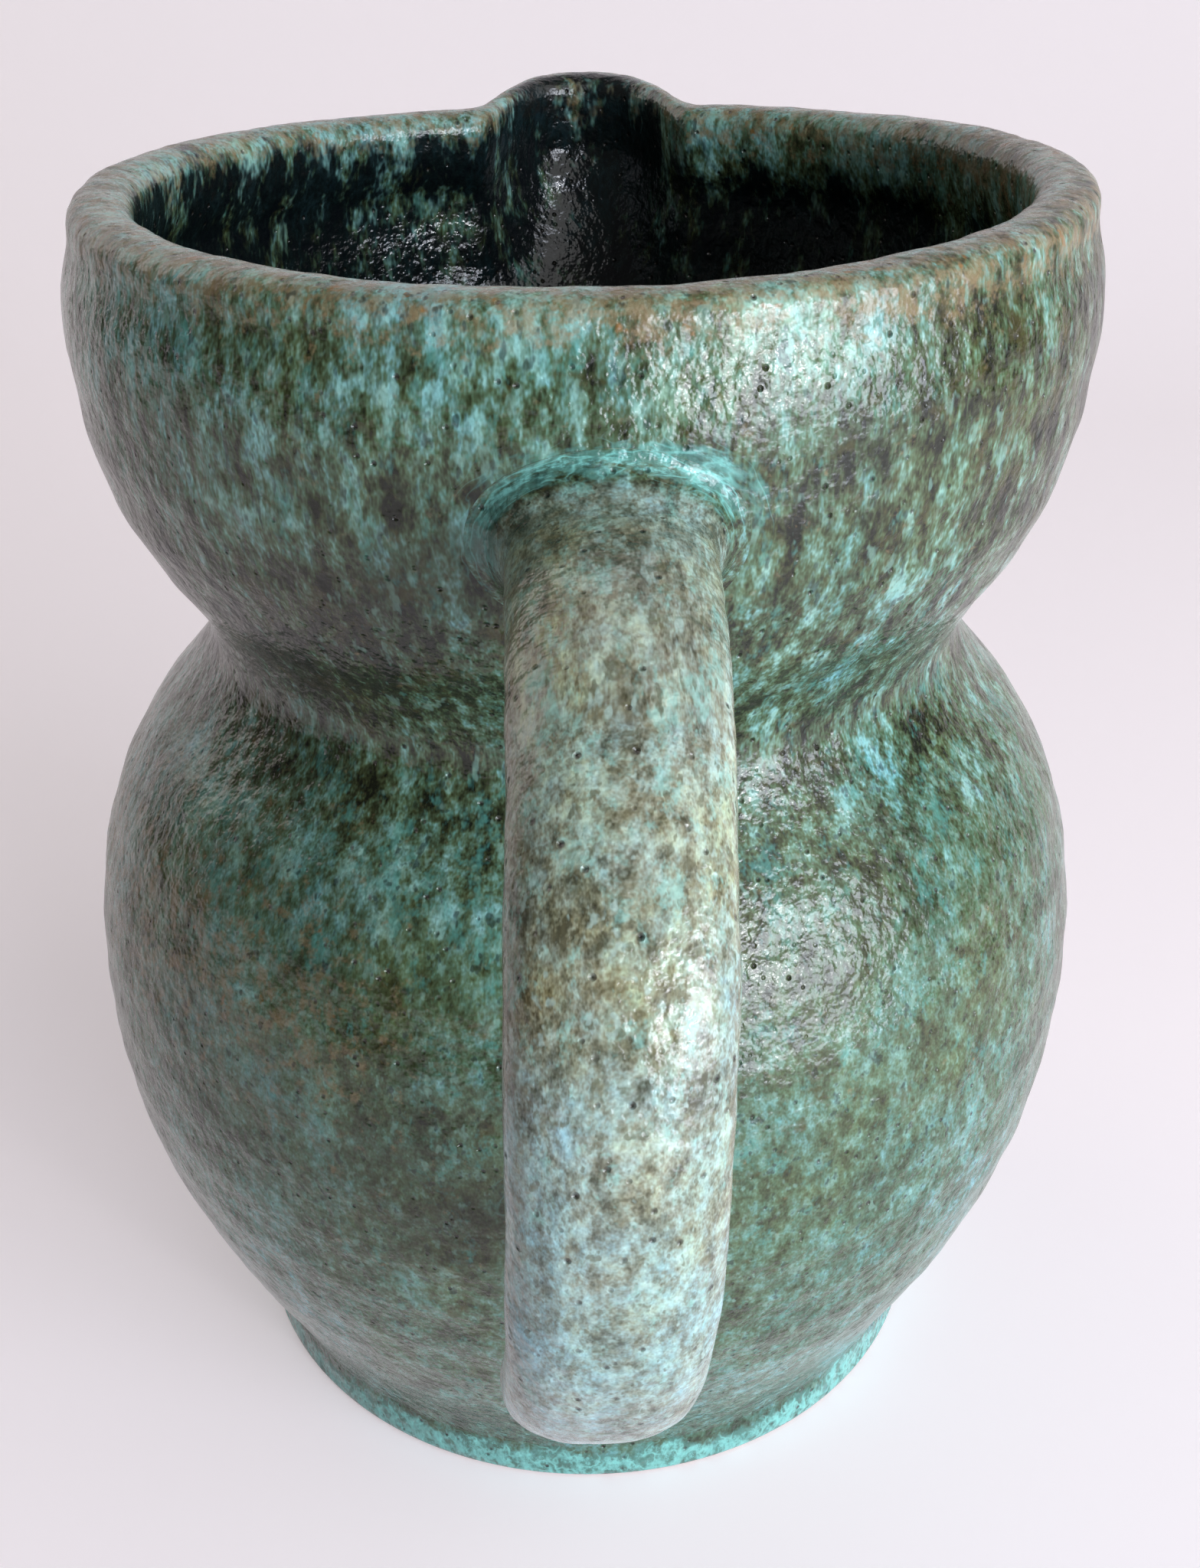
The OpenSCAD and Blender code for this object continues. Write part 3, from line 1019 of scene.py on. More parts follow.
@dataclass
class StrapHandle:
    """The pulled strap and the fillets of clay round its two roots.

    A place s on the strap's middle line runs from 0 at the bowl to 2 at the belly.
    """

    # Section and middle line.
    width: float = 19.4
    thickness: float = 13.0
    flare: float = 3.0
    oval: float = 2.3
    top: float = 155.0
    middle: float = 115.0
    bottom: float = 69.0
    reach: float = 122.5
    starts: tuple[float, float] = (58.0, 64.0)
    upper_pull: tuple[float, float] = (92.0, 4.0)
    lower_pull: tuple[float, float] = (104.0, 1.0)
    bend_pulls: tuple[float, float] = (32.0, 31.0)
    upper_drop: float = 1.0
    # Lean: a turn round the jug's axis, a drift to the left on the way down, and the way back.
    tilt: float = 1.5
    drift: float = 5.6
    drift_start: float = 0.125
    back: float = 6.5
    back_zone: Ease = Ease(1.4, 0.6)
    pulled: Swell = Swell(0.25, 26.0)
    # Ends and roots on the wall, the upper one first.
    ends: tuple[float, float] = (0.035, 1.95)
    root_places: tuple[float, float] = (0.08, 1.92)
    root_gathers: tuple[float, float] = (1.0, 0.6)
    wall_place: float = 0.045
    # Fillets of clay round the roots.
    fillets: tuple[float, float] = (4.2, 2.8)
    fillet_bow: float = 0.55
    fillet_length: float = 9.0
    fillet_run: float = 8.7
    fillet_bed: float = 2.0
    fillet_core: float = 0.8
    fillet_skin: float = 0.05
    feathered: Ease = Ease(0.0, 0.3)
    strap_end: Ease = Ease(-4.5, 4.0)
    # Glaze on the strap, with painted cool bounce light on its lower part.
    thin_edge: Ease = Ease(0.8, 0.2)
    thin_strength: float = 0.6
    glaze: tuple[tuple[Mark, tuple[Patch, ...]], ...] = (
        (Mark.POOL_AND_SHADE, (Patch(0.65, Ease(120.0, 25.0)),)),
        # Painted light: bluer towards the strap's lower end for the cool light bounced up from the floor,
        # warmer towards its top.
        (Mark.COOL, (Patch(0.75, Ease(145.0, -62.0)), Patch(-0.6, Ease(122.0, 25.0)))),
        (Mark.SETTLED, (Patch(0.3, Ease(145.0, -62.0)),)),
    )
    # Pattern places along the strap.
    pattern_share: float = 0.75
    pattern_shift: float = 300.0
    drawn_length: float = 45.0
    drawn_shares: tuple[float, float] = (0.6, 1.1)
    # Steps and rows of the meshes.
    slope_step: float = 1e-3
    skin_steps: tuple[float, float] = (0.004, 0.02)
    length_steps: int = 400
    stations: int = 330
    around: int = 116
    fillet_around: int = 200
    fillet_rows: int = 26
    fillet_search: int = 60

    def __post_init__(self) -> None:
        """Work out the two curves of the strap's middle line, distance from the axis and height."""
        out, above, below = self.reach, self.middle + self.bend_pulls[0], self.middle - self.bend_pulls[1]
        first = [self.starts[0], self.top - self.upper_drop]
        leaving = [self.upper_pull[0], self.top + self.upper_pull[1]]
        arriving = [self.lower_pull[0], self.bottom + self.lower_pull[1]]
        self.upper = np.array([first, leaving, [out, above], [out, self.middle]])
        self.lower = np.array([[out, self.middle], [out, below], arriving, [self.starts[1], self.bottom]])

    def line(self, s: Array) -> Array:
        """Points of the middle line.

        Args:
            s: Places along it.

        Returns:
            Distance from the axis and height of each place.
        """
        first = bezier(self.upper, np.clip(s, 0.0, 1.0))
        second = bezier(self.lower, np.clip(s - 1.0, 0.0, 1.0))
        return np.where((s < 1.0)[..., None], first, second)

    def surface(self, s: Array, a: Array) -> Array:
        """Places on the strap's plain surface.

        Args:
            s: Places along the middle line.
            a: Angles round the section, 0 at its +X edge and a quarter turn on its outer face.

        Returns:
            Places in millimetres.
        """
        centre = self.line(s)
        s = np.clip(s, 0.0, 2.0)
        step = self.slope_step
        ahead = self.line(np.minimum(s + step, 2.0)) - self.line(np.maximum(s - step, 0.0))
        ahead /= np.linalg.norm(ahead, axis=-1, keepdims=True)
        outward = np.stack([-ahead[..., 1], ahead[..., 0]], axis=-1)
        half = self.width / 2 + self.flare / 2 * (1 - s / 2) ** 4
        across = signed_power(np.cos(a), 2 / self.oval) * half
        through = signed_power(np.sin(a), 2 / self.oval) * self.thickness / 2
        flat = centre + through[..., None] * outward
        x = across + self.drift * (self.drift_start - (s / 2) ** 2) + self.back * self.back_zone.at(s)
        y = -flat[..., 0]
        cos, sin = math.cos(math.radians(self.tilt)), math.sin(math.radians(self.tilt))
        return np.stack([x * cos - y * sin, x * sin + y * cos, flat[..., 1]], axis=-1)

    def roots(self) -> list[Root]:
        """The two ends of the strap on the wall.

        Returns:
            The upper and the lower root.
        """
        ends = []
        heights = (self.top, self.bottom)
        for s, height, fillet, gather in zip(self.root_places, heights, self.fillets, self.root_gathers):
            edges = self.surface(np.full(2, s), np.array([0.0, math.pi]))[:, 0]
            middle = (float(edges.mean()), height)
            ends.append(Root(middle, float(np.ptp(edges) / 2), self.thickness / 2, fillet, gather))
        return ends

    def lengths(self, s: Array) -> Array:
        """Length of the middle line from its upper end down to some places.

        Args:
            s: Places along it.

        Returns:
            Lengths in millimetres.
        """
        fine = np.linspace(0.0, 2.0, self.length_steps)
        steps = np.linalg.norm(np.diff(self.line(fine), axis=0), axis=-1)
        return np.interp(s, fine, np.concatenate([[0.0], np.cumsum(steps)]))

    def off_wall(self, s: Array) -> Array:
        """How far inside the strap's outline a place on the upper half counts, as a negative distance."""
        return -np.maximum(self.lengths(s) - self.lengths(np.array(self.wall_place)), 0.0)

    def marks(self, s: Array, a: Array, root: Root) -> dict[Mark, Array]:
        """What the glaze did on the strap: it ran thin along the edges and gathered at the upper root.

        Args:
            s: Places along the middle line.
            a: Angles round the section.
            root: The upper root.

        Returns:
            The marks of each point.
        """
        edge = np.abs(np.cos(a)) ** (2 / self.oval)
        height = self.line(s)[..., 1]
        marks = {mark: sum(patch.at(height) for patch in patches) for mark, patches in self.glaze}
        marks[Mark.THIN] = self.thin_strength * self.thin_edge.at(edge)
        marks[Mark.STRAP] = np.ones_like(s)
        marks[Mark.GATHER] = root.gather(self.off_wall(s), a)
        return marks

    def places(self, s: Array, a: Array, root: Root) -> dict[Lie, Array]:
        """Pattern places on the strap, drawn out along it and most of all near the upper root.

        Args:
            s: Places along the middle line.
            a: Angles round the section.
            root: The upper root.

        Returns:
            The places of each point for each lie of the glaze.
        """
        across = self.pattern_share * np.cos(a) * self.width
        through = self.pattern_share * np.sin(a) * self.thickness
        down = self.lengths(s)
        near = np.minimum(down, self.drawn_length)
        drawn = self.drawn_shares[0] * near + self.drawn_shares[1] * (down - near)
        run = np.stack([across + self.pattern_shift, drawn, through], axis=-1)
        return {Lie.RUN: run, Lie.CORNER: root.place(self.off_wall(s), a)}

    def skin(self, s: Array, a: Array) -> Array:
        """Places on the strap's surface with its glaze and the unevenness of the pulling.

        Args:
            s: Places along the middle line.
            a: Angles round the section.

        Returns:
            Places in millimetres.
        """
        points = self.surface(s, a)
        along, turned = self.skin_steps
        ahead = self.surface(s + along, a) - self.surface(s - along, a)
        round_it = self.surface(s, a + turned) - self.surface(s, a - turned)
        normals = np.cross(round_it, ahead)
        normals /= np.linalg.norm(normals, axis=-1, keepdims=True)
        uneven = glaze_relief(points) + self.pulled.at(THROWN, points)
        return points + uneven[..., None] * normals

    def build_strap(self) -> bpy.types.Object:
        """Make the strap, closed at both ends inside the wall.

        Returns:
            The strap's object.
        """
        along = np.linspace(*self.ends, self.stations)
        round_it = np.linspace(0.0, FULL_TURN, self.around, endpoint=False)
        s, a = np.meshgrid(along, round_it, indexing="ij")
        piece = ClayMesh("strap_glazed")
        upper = self.roots()[0]
        numbers = piece.add_points(self.skin(s, a), self.marks(s, a, upper), self.places(s, a, upper))
        piece.add_faces(grid_cells(numbers), Finish.GLAZED)
        for row in (numbers[0], numbers[-1]):
            piece.add_faces(row[None, :], Finish.BARE)
        return piece.write()

    def build_root_fillet(
        self, name: str, start: float, stop: float, root: Root, body: ThrownBody
    ) -> bpy.types.Object:
        """Make the fillet of clay between the strap and the wall at one root.

        Args:
            name: Name of the piece.
            start: Place on the strap's line inside the wall.
            stop: Place on the strap's line where the fillet's feather edge ends.
            root: The strap's end on the wall.
            body: The body with the wall.

        Returns:
            The fillet's object.
        """
        a = np.linspace(0.0, FULL_TURN, self.fillet_around, endpoint=False)
        lines = self.surface(*np.meshgrid(np.linspace(start, stop, self.fillet_search), a, indexing="ij"))
        clear = np.hypot(lines[..., 0], lines[..., 1]) - body.outer_radius(lines[..., 2])
        corner = lines[np.argmax(clear > 0, axis=0), np.arange(len(a))]
        middle = corner.mean(axis=0)
        feather = self.skin(np.full_like(a, stop), a)
        on_wall = self.fillet_foot(corner, root, body)
        bow, rest = self.fillet_bow, 1.0 - self.fillet_bow
        t = np.linspace(0.0, 1.0, self.fillet_rows)
        curve = [feather, rest * feather + bow * corner, rest * on_wall + bow * corner, on_wall]
        top = bezier(np.stack(curve), t)
        inward = np.array([0.0, 1.0, 0.0])
        skin = self.feathered.at(t)[:, None] * glaze_relief(top) + self.fillet_skin
        top = top - skin[..., None] * inward
        bed = self.fillet_bed * inward
        under = np.stack([on_wall + bed, corner + bed, middle + self.fillet_core * (feather - middle)])
        off = np.broadcast_to((self.fillet_length + root.fillet) * t[:, None], top.shape[:-1])
        off = off - self.fillet_length
        angle = root.angle(top)
        marks = {Mark.STRAP: 1.0 - self.strap_end.at(off), Mark.GATHER: root.gather(off, angle)}
        # The pattern carries on that of the strap at the feather edge.
        edge = self.places(np.full_like(a, stop), a, self.roots()[0])[Lie.RUN]
        run = edge[None] - t[:, None, None] * np.array([0.0, self.fillet_run, 0.0])
        piece = ClayMesh(name)
        rows = piece.add_points(top, marks, {Lie.RUN: run, Lie.CORNER: root.place(off, angle)})
        back = piece.add_points(under, {})
        cells = grid_cells(np.concatenate([rows, back, rows[:1]]))
        piece.add_faces(cells[: len(rows) - 1], Finish.GLAZED)
        piece.add_faces(cells[len(rows) - 1 :], Finish.BARE)
        return piece.write()

    def fillet_foot(self, corner: Array, root: Root, body: ThrownBody) -> Array:
        """The line on the wall where a fillet ends.

        Args:
            corner: Line where the strap meets the wall.
            root: The strap's end on the wall.
            body: The body with the wall.

        Returns:
            Places the fillet's width outside the corner line.
        """
        spoke = (corner - corner.mean(axis=0)) * np.array([1.0, 0.0, 1.0])
        spoke /= np.linalg.norm(spoke, axis=1, keepdims=True)
        reached = corner + root.fillet * spoke
        around = np.arctan2(reached[:, 1], reached[:, 0])
        height = reached[:, 2]
        return body.place(body.outer_radius(height), height, around, np.zeros_like(around))


def linear(code: str) -> tuple[float, float, float, float]:
    """Turn an sRGB hex colour into linear values.

    Args:
        code: The colour, such as #ffffff.

    Returns:
        Red, green, blue and a full alpha.
    """
    parts = [int(code[i : i + 2], 16) / 255 for i in (1, 3, 5)]
    red, green, blue = (p / 12.92 if p <= 0.04045 else ((p + 0.055) / 1.055) ** 2.4 for p in parts)
    return (red, green, blue, 1.0)


def add_node(
    tree: Tree, kind: str, inputs: dict, stops: tuple[tuple[float, str], ...] = (), **settings: object
) -> bpy.types.Node:
    """Add a shader node with its settings and links.

    Args:
        tree: Node tree that gets the node.
        kind: Blender's name for the node's type.
        inputs: For each input, by name or number, the value it takes or the output it is linked from.
        stops: Places and colours, where the node is a colour ramp.
        settings: Properties of the node itself.

    Returns:
        The new node.
    """
    node = tree.nodes.new(kind)
    for name, value in settings.items():
        setattr(node, name, value)
    for number, (position, code) in enumerate(stops):
        elements = node.color_ramp.elements
        stop = elements[number] if number < 2 else elements.new(position)
        stop.position = position
        stop.color = linear(code)
    for key, value in inputs.items():
        if isinstance(value, Socket):
            tree.links.new(value, node.inputs[key])
        else:
            node.inputs[key].default_value = value
    return node


def start_material(name: str) -> tuple[bpy.types.Material, Tree, bpy.types.Node]:
    """Make an empty material with its surface shader.

    Args:
        name: Name of the material.

    Returns:
        The material, its node tree and its Principled shader.
    """
    material = bpy.data.materials.new(name)
    material.use_nodes = True
    tree = material.node_tree
    tree.nodes.clear()
    shader = add_node(tree, "ShaderNodeBsdfPrincipled", {"IOR": GLASSY_IOR})
    add_node(tree, "ShaderNodeOutputMaterial", {"Surface": shader.outputs["BSDF"]})
    return material, tree, shader


@dataclass(frozen=True)
class Pattern:
    """Cloudy noise as the melt draws it: its lie, its coarsest size, and how rough its finer sizes are."""

    lie: Lie
    size_mm: float
    detail: float
    roughness: float
    thread_width: float = 0.0

    def node(self, tree: Tree, places: dict[Lie, Socket]) -> bpy.types.Node:
        """Add the pattern's node, whose outputs swing round 0.5."""
        size = {"Scale": 1 / (self.size_mm * MM), "Detail": self.detail, "Roughness": self.roughness}
        return add_node(tree, "ShaderNodeTexNoise", {"Vector": places[self.lie], **size})

    def output(self, tree: Tree, places: dict[Lie, Socket]) -> Socket:
        """Add the pattern.

        Args:
            tree: Node tree that gets the nodes.
            places: Pattern places for each lie.

        Returns:
            The pattern's grey, or its bright threads, from 0 to 1, where it has a thread width.
        """
        value = self.node(tree, places).outputs["Fac"]
        if not self.thread_width:
            return value
        off = add_node(tree, "ShaderNodeMath", {0: value, 1: 0.5}, operation="SUBTRACT").outputs[0]
        off = add_node(tree, "ShaderNodeMath", {0: off}, operation="ABSOLUTE").outputs[0]
        near = {"Value": off, "From Min": self.thread_width, "From Max": 0.0}
        return add_node(tree, "ShaderNodeMapRange", near).outputs["Result"]


@dataclass(frozen=True)
class GlazeLayer:
    """A colour that floats on the glaze where its pattern, moved by the marks, is high enough."""

    name: str
    wall: str
    strap: str
    pattern: Pattern
    start: float
    full: float
    cover: float
    marks: tuple[tuple[Mark, float], ...]


@dataclass(frozen=True)
class MottledGlaze:
    """Thick copper and rutile glaze melted over iron-rich stoneware.

    It breaks brown where it runs thin on edges, and goes celadon to turquoise where it is thick. Rutile
    draws fibres in it down the steep walls, and gas that left it in the kiln pitted its satin skin.
    """

    # To the eye: soft olive, grey-green and turquoise clouds, long down the bowl and shorter on the belly
    # and the strap, under a satin shine that the dimples break into sparkles.
    name: str = "Mottled copper-rutile glaze on stoneware"
    thicknesses: tuple[tuple[Pattern, float], ...] = (
        (Pattern(Lie.RUN, 6.0, 4.0, 0.84), 2.0),
        (Pattern(Lie.RUN, 2.3, 3.0, 0.84), 2.0),
        (Pattern(Lie.EVEN, 30.0, 2.0, 0.6), 0.8),
    )
    thickness_marks: tuple[tuple[Mark, float], ...] = ((Mark.POOL_AND_SHADE, 0.14), (Mark.THIN, 0.15))
    settled_thickness: float = 0.53
    wall: tuple[tuple[float, str], ...] = (
        (0.08, "#161a0f"),
        (0.29, "#323922"),
        (0.44, "#45543a"),
        (0.58, "#546d53"),
        (0.74, "#698d7d"),
        (0.95, "#89b6aa"),
    )
    strap: tuple[tuple[float, str], ...] = (
        (0.08, "#505344"),
        (0.29, "#707767"),
        (0.44, "#869081"),
        (0.58, "#93a69a"),
        (0.74, "#a1bbb0"),
        (0.95, "#b2d1c6"),
    )
    tint: Pattern = Pattern(Lie.RUN, 18.0, 5.0, 0.86)
    tint_parting: float = 1.1
    tint_swing: float = 0.6
    cool_tint: tuple[float, float, float] = (-0.13, 0.06, 0.25)
    layers: tuple[GlazeLayer, ...] = (
        GlazeLayer(
            "turquoise clouds", "#53958a", "#98cfc2", Pattern(Lie.RUN, 5.0, 4.0, 0.8),
            start=0.55, full=0.69, cover=0.55, marks=((Mark.POOL_AND_SHADE, 0.06), (Mark.THIN, -0.04)),
        ),
        GlazeLayer(
            "brown clouds", "#4a4526", "#75745a", Pattern(Lie.EVEN, 5.0, 3.0, 0.8),
            start=0.56, full=0.69, cover=0.55, marks=((Mark.POOL_AND_SHADE, -0.06), (Mark.COOL, -0.04)),
        ),
        GlazeLayer(
            "tan breaks", "#8f7b5b", "#7a7558", Pattern(Lie.EVEN, 2.2, 3.0, 0.7),
            start=0.60, full=0.84, cover=0.65,
            marks=((Mark.THIN, 0.23), (Mark.COOL, -0.05), (Mark.STRAP, 0.06)),
        ),
        GlazeLayer(
            "dark strokes", "#17180f", "#5a5940", Pattern(Lie.RUN, 1.5, 2.0, 0.6),
            start=0.58, full=0.70, cover=0.7, marks=((Mark.THIN, -0.02), (Mark.COOL, -0.03)),
        ),
        GlazeLayer(
            "pale strokes", "#7ea595", "#b3d0c6", Pattern(Lie.RUN, 1.8, 2.0, 0.6),
            start=0.60, full=0.71, cover=0.5, marks=((Mark.COOL, -0.02),),
        ),
        GlazeLayer(
            "rust spots", "#8f6430", "#85663e", Pattern(Lie.EVEN, 4.0, 3.0, 0.7),
            start=0.75, full=0.84, cover=0.7, marks=((Mark.THIN, 0.15),),
        ),
        GlazeLayer(
            "gathered ground", "#51857b", "#7a978c", Pattern(Lie.CORNER, 2.0, 3.0, 0.7),
            start=0.80, full=1.04, cover=0.7, marks=((Mark.GATHER, 0.5),),
        ),
        GlazeLayer(
            "gathered turquoise", "#80c8c0", "#8ec6bc", Pattern(Lie.CORNER, 1.8, 4.0, 0.75),
            start=0.97, full=1.18, cover=0.8, marks=((Mark.GATHER, 0.5),),
        ),
        GlazeLayer(
            "gathered threads", "#84cfc5", "#8cc6bb",
            Pattern(Lie.CORNER, 3.0, 2.0, 0.55, thread_width=0.12),
            start=1.05, full=1.75, cover=0.8, marks=((Mark.GATHER, 0.5),),
        ),
        # Near-black inside: partly a dark lining glaze, partly painted shade of the deep inside and the
        # spout's channel.
        GlazeLayer(
            "dark liner", "#060a0f", "#060a0f", Pattern(Lie.RUN, 9.0, 4.0, 0.85),
            start=0.69, full=0.86, cover=0.97, marks=((Mark.LINER_AND_SHADE, 0.36),),
        ),
    )
    pit: str = "#241f19"
    pit_mm: float = 2.1
    pit_edges: tuple[float, float] = (0.19, 0.03)
    pit_choice: tuple[float, float] = (0.3, 0.6)
    pit_depth: float = 0.7
    dimples: Pattern = Pattern(Lie.EVEN, 1.8, 2.5, 0.55)
    relief_mm: float = 0.42
    satin: tuple[float, float] = (0.23, 0.13)
    satin_range: tuple[float, float] = (0.2, 0.8)
    thin_roughness: float = 0.1

    def material(self) -> bpy.types.Material:
        """Build the glaze's material.

        Returns:
            The material, which reads the marks and places of the mesh it is on.
        """
        material, tree, shader = start_material(self.name)
        kind = "ShaderNodeAttribute"
        marks = {mark: add_node(tree, kind, {}, attribute_name=mark.value).outputs["Fac"] for mark in Mark}
        places = {Lie.EVEN: add_node(tree, "ShaderNodeTexCoord", {}).outputs["Object"]}
        for lie in (Lie.RUN, Lie.CORNER):
            places[lie] = add_node(tree, kind, {}, attribute_name=lie.value).outputs["Vector"]
        thickness = self.thickness(tree, marks, places)
        wall = add_node(tree, "ShaderNodeValToRGB", {0: thickness}, self.wall).outputs[0]
        strap = add_node(tree, "ShaderNodeValToRGB", {0: thickness}, self.strap).outputs[0]
        blend = {0: marks[Mark.STRAP], 6: wall, 7: strap}
        colour = add_node(tree, "ShaderNodeMix", blend, data_type="RGBA").outputs[2]
        colour = self.tinted(tree, colour, places, marks[Mark.COOL])
        for layer in self.layers:
            colour = self.layered(tree, layer, colour, marks, places)
        pit = self.pits(tree, places[Lie.EVEN])
        pitted = {0: pit, 6: colour, 7: linear(self.pit)}
        colour = add_node(tree, "ShaderNodeMix", pitted, data_type="RGBA").outputs[2]
        relief = self.weighed(tree, [(pit, -self.pit_depth)], self.dimples.output(tree, places))
        height = {"Height": relief, "Strength": 1.0, "Distance": self.relief_mm * MM}
        bump = add_node(tree, "ShaderNodeBump", height)
        spread = dict(zip(("From Min", "From Max", "To Min", "To Max"), (*self.satin_range, *self.satin)))
        rough = add_node(tree, "ShaderNodeMapRange", {"Value": thickness, **spread}).outputs["Result"]
        rough = self.weighed(tree, [(marks[Mark.THIN], self.thin_roughness)], rough)
        tree.links.new(colour, shader.inputs["Base Color"])
        tree.links.new(rough, shader.inputs["Roughness"])
        tree.links.new(bump.outputs["Normal"], shader.inputs["Normal"])
        return material

    def thickness(self, tree: Tree, marks: dict[Mark, Socket], places: dict[Lie, Socket]) -> Socket:
        """How thick the glaze lies, which is more even where it settled.

        Args:
            tree: Node tree that gets the nodes.
            marks: Outputs of the marks.
            places: Pattern places for each lie.

        Returns:
            The thickness, about 0 to 1.
        """
        terms = [(pattern.output(tree, places), weight) for pattern, weight in self.thicknesses]
        middle = 0.5 - 0.5 * sum(weight for _, weight in self.thicknesses)
        terms += [(marks[mark], weight) for mark, weight in self.thickness_marks]
        uneven = self.weighed(tree, terms, middle)
        settled = {0: marks[Mark.SETTLED], 2: uneven, 3: self.settled_thickness}
        return add_node(tree, "ShaderNodeMix", settled).outputs[0]

    def layered(
        self,
        tree: Tree,
        layer: GlazeLayer,
        under: Socket,
        marks: dict[Mark, Socket],
        places: dict[Lie, Socket],
    ) -> Socket:
        """Float one layer's colour on the glaze.

        Args:
            tree: Node tree that gets the nodes.
            layer: The layer.
            under: Colour of the glaze under it.
            marks: Outputs of the marks.
            places: Pattern places for each lie.

        Returns:
            The colour with the layer on it.
        """
        terms = [(marks[mark], weight) for mark, weight in layer.marks]
        value = self.weighed(tree, terms, layer.pattern.output(tree, places))
        limits = {"Value": value, "From Min": layer.start, "From Max": layer.full, "To Max": layer.cover}
        shows = add_node(
            tree, "ShaderNodeMapRange", limits, interpolation_type="SMOOTHSTEP", label=layer.name
        ).outputs["Result"]
        tint = linear(layer.wall)
        if layer.wall != layer.strap:
            sides = {0: marks[Mark.STRAP], 6: tint, 7: linear(layer.strap)}
            tint = add_node(tree, "ShaderNodeMix", sides, data_type="RGBA").outputs[2]
        return add_node(tree, "ShaderNodeMix", {0: shows, 6: under, 7: tint}, data_type="RGBA").outputs[2]

    def weighed(self, tree: Tree, terms: list[tuple[Socket, float]], start: Socket | float) -> Socket:
        """Add up outputs, each with its weight.

        Args:
            tree: Node tree that gets the nodes.
            terms: Outputs and their weights.
            start: What the sum begins with.

        Returns:
            The sum's output.
        """
        total = start
        for output, weight in terms:
            scaled = {0: output, 1: weight, 2: total}
            total = add_node(tree, "ShaderNodeMath", scaled, operation="MULTIPLY_ADD").outputs[0]
        return total

    def tinted(self, tree: Tree, colour: Socket, places: dict[Lie, Socket], cool: Socket) -> Socket:
        """Let red give way to blue from place to place, as copper and rutile part in the melt, and where
        the cool mark is, which in places is painted cool light.

        Args:
            tree: Node tree that gets the nodes.
            colour: Colour to tint.
            places: Pattern places for each lie.
            cool: How much bluer the glaze is at a place.

        Returns:
            The tinted colour's output.
        """
        noise = self.tint.node(tree, places).outputs
        part = self.tint_parting
        tint = (1.0 + 0.5 * part, 1.0, 1.0 - 0.5 * part - 0.5 * self.tint_swing)
        for share, gains in (
            (noise["Fac"], (-part, 0.0, part)),
            (noise["Color"], (0.0, 0.0, self.tint_swing)),
            (cool, self.cool_tint),
        ):
            scaled = {0: share, 1: gains, 2: tint}
            tint = add_node(tree, "ShaderNodeVectorMath", scaled, operation="MULTIPLY_ADD").outputs[0]
        return add_node(tree, "ShaderNodeVectorMath", {0: colour, 1: tint}, operation="MULTIPLY").outputs[0]

    def pits(self, tree: Tree, place: Socket) -> Socket:
        """Small round pits, in some of the cells of a random net.

        Args:
            tree: Node tree that gets the nodes.
            place: Even pattern places.

        Returns:
            Depth of the pit at each place, from 0 to 1.
        """
        size = {"Vector": place, "Scale": 1 / (self.pit_mm * MM)}
        net = add_node(tree, "ShaderNodeTexVoronoi", size).outputs
        parts = []
        for output, (low, high) in ((net["Distance"], self.pit_edges), (net["Color"], self.pit_choice)):
            limits = {"Value": output, "From Min": low, "From Max": high}
            parts.append(add_node(tree, "ShaderNodeMapRange", limits).outputs["Result"])
        return add_node(tree, "ShaderNodeMath", {0: parts[0], 1: parts[1]}, operation="MULTIPLY").outputs[0]


@dataclass(frozen=True)
class BareStoneware:
    """Fired stoneware wiped clean of glaze, where the foot stands and where pieces of clay were joined."""

    # To the eye: dry warm brown with sandy grit and no shine.
    name: str = "Bare fired stoneware"
    tones: tuple[tuple[float, str], ...] = ((0.35, "#6f5238"), (0.65, "#a5835f"))
    grit: Pattern = Pattern(Lie.EVEN, 1.2, 4.0, 0.65)
    grit_relief: float = 0.6
    grit_height_mm: float = 0.3
    roughness: float = 0.85

    def material(self) -> bpy.types.Material:
        """Build the bare clay's material.

        Returns:
            The material.
        """
        material, tree, shader = start_material(self.name)
        places = {Lie.EVEN: add_node(tree, "ShaderNodeTexCoord", {}).outputs["Object"]}
        grit = self.grit.output(tree, places)
        colour = add_node(tree, "ShaderNodeValToRGB", {0: grit}, self.tones).outputs["Color"]
        height = {"Height": grit, "Strength": self.grit_relief, "Distance": self.grit_height_mm * MM}
        bump = add_node(tree, "ShaderNodeBump", height)
        tree.links.new(colour, shader.inputs["Base Color"])
        tree.links.new(bump.outputs["Normal"], shader.inputs["Normal"])
        shader.inputs["Roughness"].default_value = self.roughness
        return material


@dataclass(frozen=True)
class Lamp:
    """A soft box: its stand, its width and height in metres, its power in watts and what it points at."""

    name: str
    stand: tuple[float, float, float]
    size: tuple[float, float]
    power: float
    colour: str = "#ffffff"
    target: tuple[float, float, float] = (0.0, 0.0, 0.1)


